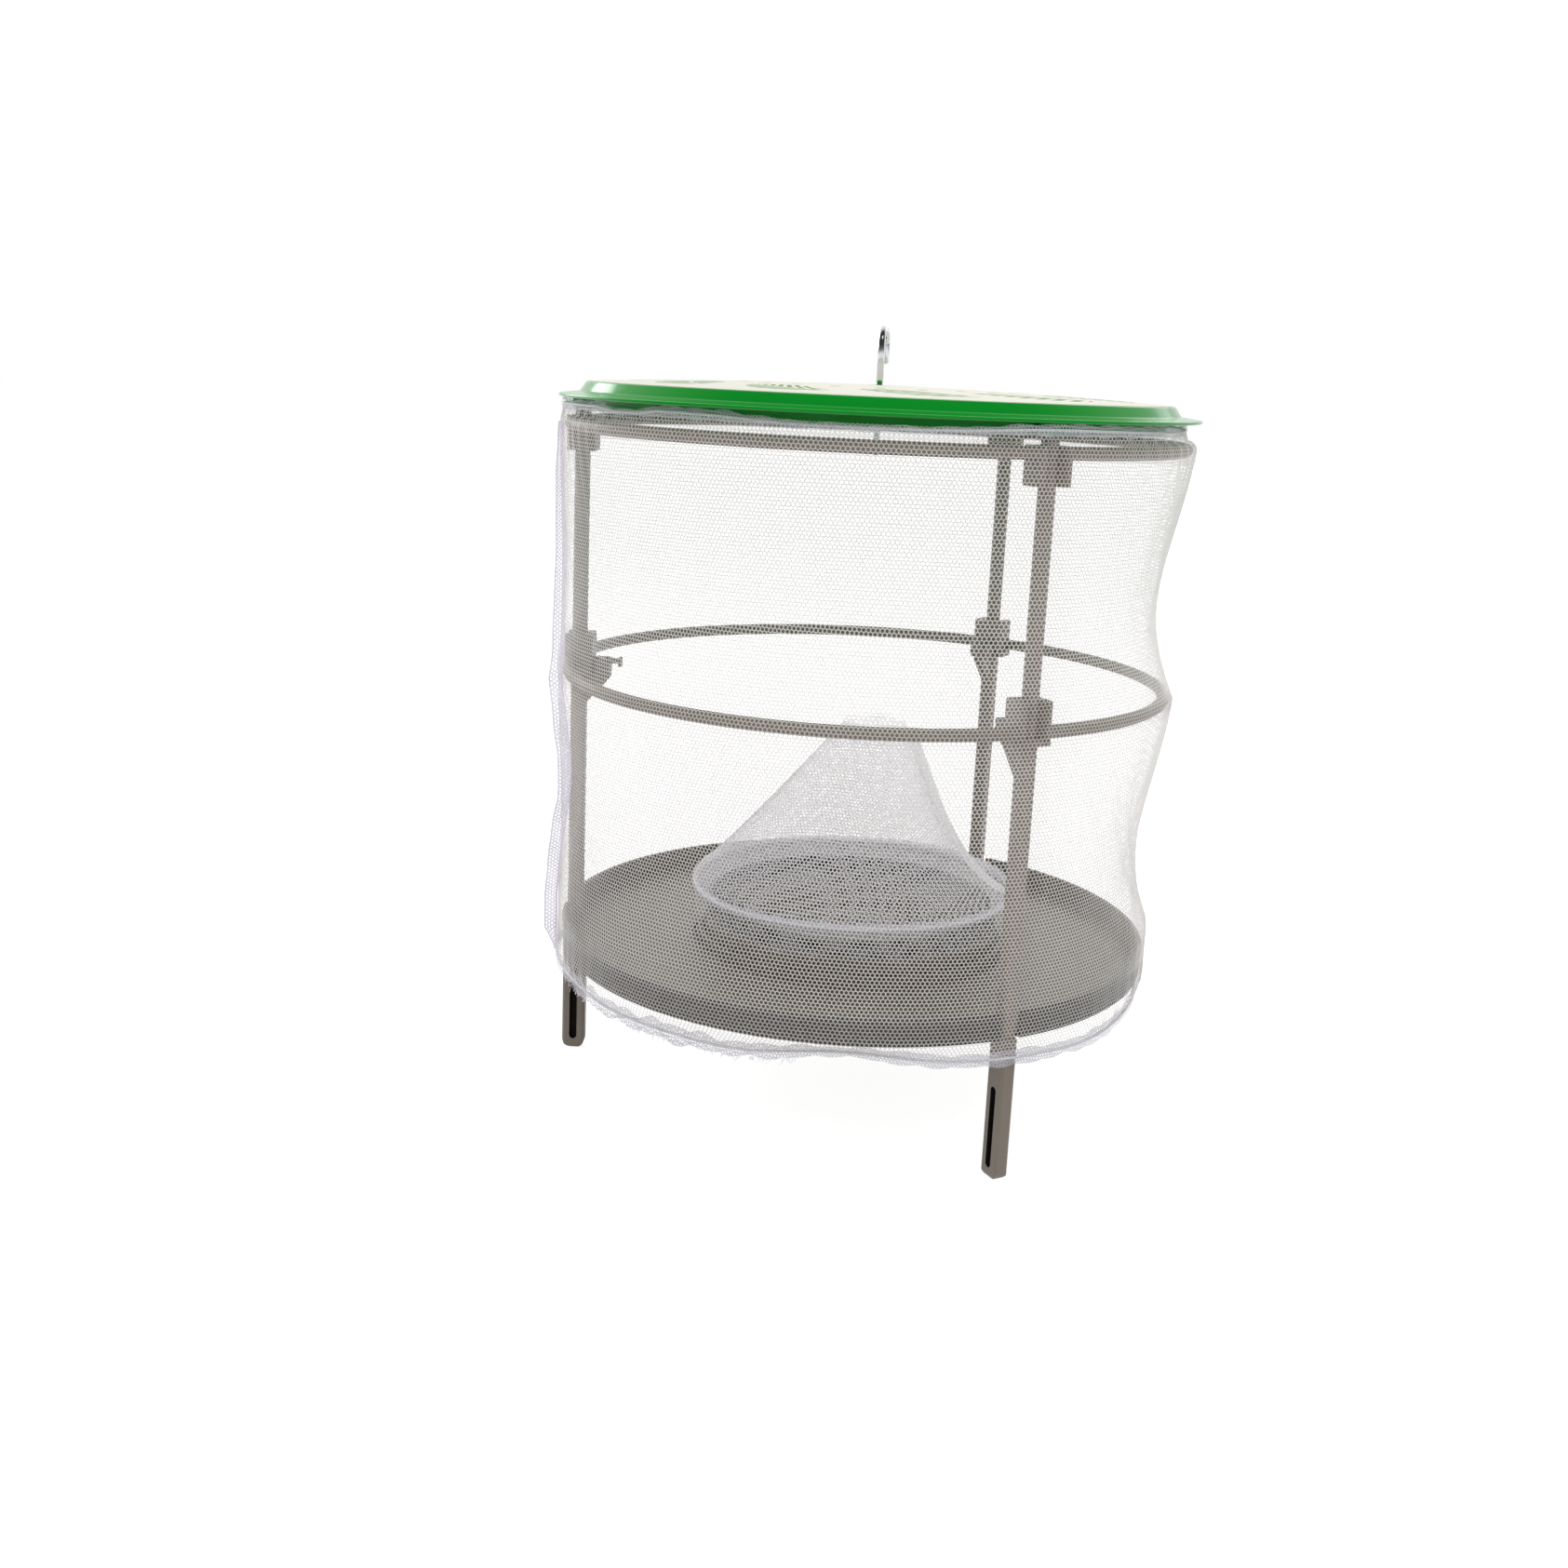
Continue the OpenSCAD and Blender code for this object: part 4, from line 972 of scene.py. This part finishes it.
def gathered_hem(name, node, middle_r, middle_z, half_h, rumple):
    rows = 2 * math.ceil(half_h(0) * ROUND_TUBE / (HEM_PITCH * math.sqrt(3)))
    place = folded_tube(HEM_COLUMNS, rows, HEM_PITCH, middle_r, middle_z, HEM_HALF_W, half_h, rumple)
    sheet = flat_net(HEM_COLUMNS, rows, HEM_PITCH, HEM_THREAD)
    piece = wrap(make_piece(name, sheet, GATHERED_NET, "root", [node]), place)


gathered_hem("sleeve_top_hem_fold", "sleeve_top_hem", *top_line, top_hem_half, steady(0.3))
gathered_hem("sleeve_bottom_hem_fold", "sleeve_bottom_hem", *low_line, low_hem_half, low_hem_rumple)


# %% Elastic cords inside the hems
CORD_R, CORD_COLUMNS = 0.5, 240


def round_cord(name, node, middle_r, middle_z, cord_r, material, slot, body):
    """A cord that runs round the cage: a flat grid rolled into a thin closed tube."""

    def place(u, v):
        angle, way = (u + 0.5) * math.tau, (v + 0.5) * math.tau
        radius = middle_r(angle) + cord_r * np.cos(way)
        return polar(radius, angle, middle_z(angle) + cord_r * np.sin(way))

    piece = wrap(make_piece(name, flat_grid(CORD_COLUMNS, 10), material, body, [node]), place)
    closed = bmesh.new()
    closed.from_mesh(piece.data)
    bmesh.ops.remove_doubles(closed, verts=closed.verts, dist=MERGE)
    bmesh.ops.recalc_face_normals(closed, faces=closed.faces)
    closed.to_mesh(piece.data)
    closed.free()


round_cord("sleeve_top_cord", "sleeve_top_elastic", *top_line, CORD_R, ELASTIC, "elastic", "root")
round_cord("sleeve_bottom_cord", "sleeve_bottom_elastic", *low_line, CORD_R, ELASTIC, "elastic", "root")

# %% [markdown]
# Where the bottom hem's fold has opened, its cut edge frays: threads a few millimetres
# long hang from it, some as loops. One grid makes them all, with every second column of
# faces taken out, and each strip gets a length, a lean and a curl from a seeded random
# generator.

# %% Frayed edge
FRAYS, FRAY_W, FRAY_OUT, FRAY_DROP = 190, 0.28, 0.5, 2.3
FRAY_LINES = 2 * FRAYS - 1
pick = np.random.default_rng(7)
fray_angle = np.sort(pick.uniform(FRAY_FROM, FRAY_TO, FRAYS))
fray_length = pick.uniform(0.8, 3.2, FRAYS)
fray_lean = pick.uniform(-1.0, 1.0, FRAYS)
fray_curl = pick.uniform(0.0, 0.95, FRAYS)
fray_out = pick.uniform(-0.5, 0.7, FRAYS)
strips = flat_grid(FRAY_LINES, 6)
gaps = [face for face in strips.faces if int((face.calc_center_median().x + 0.5) * FRAY_LINES) % 2]
bmesh.ops.delete(strips, geom=gaps, context="FACES")


def fray_place(u, v):
    column = np.rint((u + 0.5) * FRAY_LINES).astype(int)
    which, side = column // 2, column % 2 - 0.5
    share = v + 0.5
    length = fray_length[which]
    angle = fray_angle[which] + (FRAY_W * side + fray_lean[which] * length * share**1.5) / FOOT_TOUCH
    radius = low_hem_radius(angle) + FRAY_OUT + fray_out[which] * share * length * 0.5
    height = low_hem_height(angle) - FRAY_DROP - length * (share - fray_curl[which] * share**2)
    return polar(radius, angle, height)


frayed = wrap(make_piece("sleeve_bottom_frayed_threads", strips, FUNNEL_NET, "root"), fray_place)

# %% [markdown]
# ## The sleeve's seam
#
# The sleeve's edges are sewn together, and the allowance stands out as a fin of two
# layers of net with a row of stitches at its root. The seam wanders as it runs down,
# because the cloth isn't cut true, and is narrower at the top. The fin follows the
# sleeve's own surface function.

# %% Where the seam runs
SEAM_ANGLE, SEAM_DRIFT, SEAM_DRIFT_L, SEAM_LEAD = math.radians(196), math.radians(6.5), 155, 7
SEAM_W, SEAM_TAPER, SEAM_WAVE, SEAM_THREAD = 5.0, 0.3, 1.1, 0.8
SEAM_TOP, SEAM_BOTTOM, SEAM_RUN_OUT = 9.0, CLOTH_H - 3.0, 9.0
SEAM_LIFT, SEAM_ROWS = 0.4, 4


def seam_line(down):
    """The seam's place round the cloth and the fin's width, at a place down the cloth, in mm."""
    height = np.interp(down, ROW_LENGTHS, ROWS[:, 0])
    calm = 1 - (1 - SEAM_TAPER) * np.clip((height - MID_Z) / (TOP_Z - MID_Z), 0, 1)
    wander = np.cos(math.tau * (MID_Z - SEAM_DRIFT_L / SEAM_LEAD - height) / SEAM_DRIFT_L)
    run_out = np.clip((SEAM_BOTTOM - down) / SEAM_RUN_OUT, 0.15, 1)
    return (SEAM_ANGLE + SEAM_DRIFT * calm * wander) / math.tau * CLOTH_W, SEAM_W * calm * run_out


def sway(down):
    """How far the fin's free edge swings to the side at a place down the cloth, in mm."""
    return SEAM_WAVE * (np.sin(down / 7.5) + 0.5 * np.sin(down / 3.1 + 1))


# %% Fin, stitched root and free edge
def seam_fin(side):
    """A place function for one layer of the fin: u runs down the seam and v, 0 to 1, out from it."""

    def place(u, v):
        round_it, width = seam_line(SEAM_TOP + u)
        return sleeve_surface(round_it + sway(SEAM_TOP + u) * v + side, SEAM_TOP + u, SEAM_LIFT + v * width)

    return place


def seam_cord(name, out, cord_r, material):
    """A thin row of stitches along the fin, at a share of its width."""

    def place(u, v):
        down = SEAM_TOP + (u + 0.5) * (SEAM_BOTTOM - SEAM_TOP)
        way = (v + 0.5) * math.tau
        round_it, width = seam_line(down)
        aside = sway(down) * out + cord_r * np.cos(way)
        return sleeve_surface(round_it + aside, down, SEAM_LIFT + out * width + cord_r * np.sin(way))

    return wrap(make_piece(name, flat_grid(CORD_COLUMNS, 8), material, "root"), place)


fin_columns = int((SEAM_BOTTOM - SEAM_TOP) / MESH_PITCH)
for side, name in ((-0.25, "sleeve_seam_layer_1"), (0.25, "sleeve_seam_layer_2")):
    sheet = flat_net(fin_columns, SEAM_ROWS, MESH_PITCH, SEAM_THREAD)
    tallest = max(vert.co.y for vert in sheet.verts)
    bmesh.ops.scale(sheet, vec=(1, 1 / tallest, 1), verts=sheet.verts)
    layer = make_piece(name, sheet, GATHERED_NET, "root", ["sleeve_seam"])
    wrap(layer, seam_fin(side))
seam_cord("sleeve_seam_stitches", 0.06, 0.5, FUNNEL_NET)
seam_cord("sleeve_seam_edge", 1.0, 0.3, GATHERED_NET)
print("seam:", fin_columns, "meshes long")

# %% [markdown]
# ## The net funnel
#
# The funnel is a cone of net, cut flat as a fan and sewn up along one side. A flat
# sheet is trimmed to the fan, then each point's distance and angle in the fan say how
# far up the cone and how far round it is.

# %% The cone's shape
HOOP_R, BAND_T, MOUTH_R = 66.0, 2.8, 13.4
LEAN, FUNNEL_SAG, SIDE_SAG, SIDE_FOCUS, FUNNEL_SKEW = 5.5, 2.0, 9.0, 1.5, 0.55
FUNNEL_Z, FUNNEL_TOP = heights("funnel_net")
TAPE_ANGLE = math.radians(-14)
SLANT = math.hypot(HOOP_R - MOUTH_R, FUNNEL_TOP - FUNNEL_Z)
NARROWING = (HOOP_R - MOUTH_R) / SLANT
FAN_R = HOOP_R / NARROWING
FAN_HALF_ANGLE = math.pi * NARROWING
print("fan radius:", round(FAN_R), "mm, opening", round(math.degrees(2 * FAN_HALF_ANGLE)), "degrees")


def cone_surface(share, angle, lift=0.0):
    """The place of a point of the cone: share of its height from band to mouth, angle, lift off it."""
    kept = np.clip(share, 0, 1)
    side = SIDE_SAG * ((1 + np.cos(angle)) / 2) ** SIDE_FOCUS
    radius = HOOP_R + (MOUTH_R - HOOP_R) * share - (FUNNEL_SAG + side) * np.sin(math.pi * kept**FUNNEL_SKEW)
    radius = radius - NET_HALF + lift + 0.35 * ripple(angle, 2.5 * kept * SLANT) * np.sin(math.pi * kept)
    height = FUNNEL_Z + (FUNNEL_TOP - FUNNEL_Z) * share
    return LEAN * kept + radius * np.cos(angle), radius * np.sin(angle), height


def fan_place(u, v, lift):
    share = (FAN_R - np.hypot(u, v)) / SLANT
    angle = TAPE_ANGLE + np.arctan2(u, -v) / NARROWING
    return cone_surface(share, angle, lift)


# %% Cone net
fan = flat_net(int(2 * FAN_R / MESH_PITCH), int(2 * FAN_R / ROW_STEP), MESH_PITCH, THREAD, ridge=RIDGE)
bmesh.ops.translate(fan, verts=fan.verts, vec=(-FAN_R, -FAN_R, 0))


def off_the_fan(face):
    point = face.calc_center_median()
    distance, angle = math.hypot(point.x, point.y), abs(math.atan2(point.x, -point.y))
    return not (FAN_R - SLANT < distance < FAN_R + 1 and angle < FAN_HALF_ANGLE)


bmesh.ops.delete(fan, geom=[face for face in fan.faces if off_the_fan(face)], context="FACES")
funnel = make_piece("funnel_net_cone", fan, FUNNEL_NET, "funnel", ["funnel_net"])
wrap(funnel, fan_place, ridged=True)

# %% [markdown]
# At its foot the funnel is folded over a wire hoop, tucked in over the tray's collar,
# and hangs down outside it as a short apron. The fold and the tuck are gathered net,
# so they are denser than the cone. The apron is one open layer.

# %% Band and hoop
BAND_Z, BAND_HALF_H, BAND_HALF_W, BAND_THREAD = 81.5, 2.1, BAND_T / 2 - 0.1, 0.72
BAND_COLUMNS, BAND_ROWS = 332, 12


def band_height(angle):
    return BAND_Z + 0.3 * np.sin(3 * angle) + 0.6 * np.cos(angle)


band_line = (steady(HOOP_R), band_height)
band_form = (BAND_HALF_W, steady(BAND_HALF_H), steady(0.2))
band_sheet = flat_net(BAND_COLUMNS, BAND_ROWS, HEM_PITCH, BAND_THREAD)
band = make_piece("funnel_band_fold", band_sheet, GATHERED_NET, "funnel", ["funnel_band"])
wrap(band, folded_tube(BAND_COLUMNS, BAND_ROWS, HEM_PITCH, *band_line, *band_form))
round_cord("funnel_hoop_wire", "funnel_hoop", *band_line, 0.9, COAT, "coated_wire", "funnel")

# %% Tuck and apron
COLLAR_IN, COLLAR_TOP = 58.7, 75.5
TUCK_COLUMNS, TUCK_ROWS = round(math.tau * HOOP_R / HEM_PITCH), 9
APRON_COLUMNS, APRON_ROWS = round(math.tau * HOOP_R / MESH_PITCH), 8
APRON_H, APRON_THREAD = 9.8, 0.28


def tuck_place(u, v):
    """The inner flap: from the band's foot in and down to the collar's top edge."""
    angle = u / (TUCK_COLUMNS * HEM_PITCH) * math.tau
    share = v / (TUCK_ROWS * row_step(HEM_PITCH))
    radius = HOOP_R - 1 - share * (HOOP_R - 1 - COLLAR_IN - 0.5)
    height = BAND_Z - 2.2 - share * (BAND_Z - 2.2 - COLLAR_TOP - 0.7)
    return polar(radius, angle, height)


def apron_place(u, v):
    """The skirt outside the collar: it hangs from the band, a little wavy and uneven at its edge."""
    angle = u / (APRON_COLUMNS * MESH_PITCH) * math.tau
    share = v / (APRON_ROWS * ROW_STEP)
    radius = HOOP_R + 0.35 - 0.7 * share + 0.8 * share * ripple(angle, 0)
    drop = APRON_H * share * (1 + 0.06 * np.sin(9 * angle))
    return polar(radius, angle, BAND_Z - 2.4 - drop)


tuck = flat_net(TUCK_COLUMNS, TUCK_ROWS, HEM_PITCH, BAND_THREAD)
tuck = make_piece("funnel_band_tuck", tuck, GATHERED_NET, "funnel", ["funnel_band"])
wrap(tuck, tuck_place)
apron = flat_net(APRON_COLUMNS, APRON_ROWS, MESH_PITCH, APRON_THREAD)
apron = make_piece("funnel_apron_net", apron, NET, "funnel", ["funnel_apron"])
wrap(apron, apron_place)

# %% [markdown]
# The mouth is a cut edge that was never hemmed well, so it is ragged. The side seam
# is bound with a narrow folded tape that stands off the cone. It runs out over the
# band and ends there in a short loose tail.

# %% Mouth edge
MOUTH_HEM_H = 2.6


def mouth_place(u, v):
    angle, share = (u + 0.5) * math.tau, v + 0.5
    radius = MOUTH_R - 0.5 + 0.5 * np.sin(11 * angle) * share - 0.3 * share
    ragged = 0.5 + 0.3 * np.sin(5 * angle + 1) + 0.2 * np.sin(23 * angle)
    height = FUNNEL_TOP + MOUTH_HEM_H * share * ragged
    return LEAN + radius * np.cos(angle), radius * np.sin(angle), height


mouth = flat_net(round(math.tau * MOUTH_R / HEM_PITCH), 3, HEM_PITCH, HEM_THREAD)
mouth_w, mouth_h = (max(vert.co[axis] for vert in mouth.verts) for axis in (0, 1))
bmesh.ops.scale(mouth, vec=(1 / mouth_w, 1 / mouth_h, 1), verts=mouth.verts)
bmesh.ops.translate(mouth, vec=(-0.5, -0.5, 0), verts=mouth.verts)
mouth = make_piece("funnel_mouth_fold", mouth, FUNNEL_NET, "funnel", ["funnel_mouth_hem"])
wrap(mouth, mouth_place)

# %% Side tape and its tail
TAPE_W, TAPE_LEAN, TAIL_L, TAIL_DRIFT = 4.4, 1.4, 15.0, 12.0


def tape_place(u, v):
    """u runs up the cone from the tape's tail and v across it, both from -0.5 to 0.5."""
    share, across = u + 0.5, v + 0.5
    radius = HOOP_R + (MOUTH_R - HOOP_R) * share
    lean = TAPE_LEAN + 0.5 * np.sin(7 * share)
    angle = TAPE_ANGLE + (lean * across - 0.8) / radius
    flare = 1 + 0.8 * np.exp(-share / 0.07)
    return cone_surface(share, angle, lift=0.7 + (TAPE_W * flare - 0.8) * across)


def tail_place(u, v):
    """The loose end: over the band and down its outside, curling a little."""
    share = u + 0.5
    along = share * TAIL_L
    over = np.clip(along / 4, 0, 1)
    radius = HOOP_R + BAND_T / 2 + 0.9 + 0.5 * np.sin(3 * share) - (1 - over) * 2.2
    angle = TAPE_ANGLE + (v * TAPE_W * (1 - 0.25 * share) - TAIL_DRIFT * share**0.6) / HOOP_R
    height = FUNNEL_Z + 0.6 - np.maximum(along - 3, 0) + 0.3 * np.sin(6 * v)
    return polar(radius, angle, height)


for name, place in (("funnel_seam_tape", tape_place), ("funnel_tape_tail", tail_place)):
    strip = make_piece(name, flat_grid(60, 8), TAPE, "funnel", ["funnel_tape"])
    wrap(strip, place)
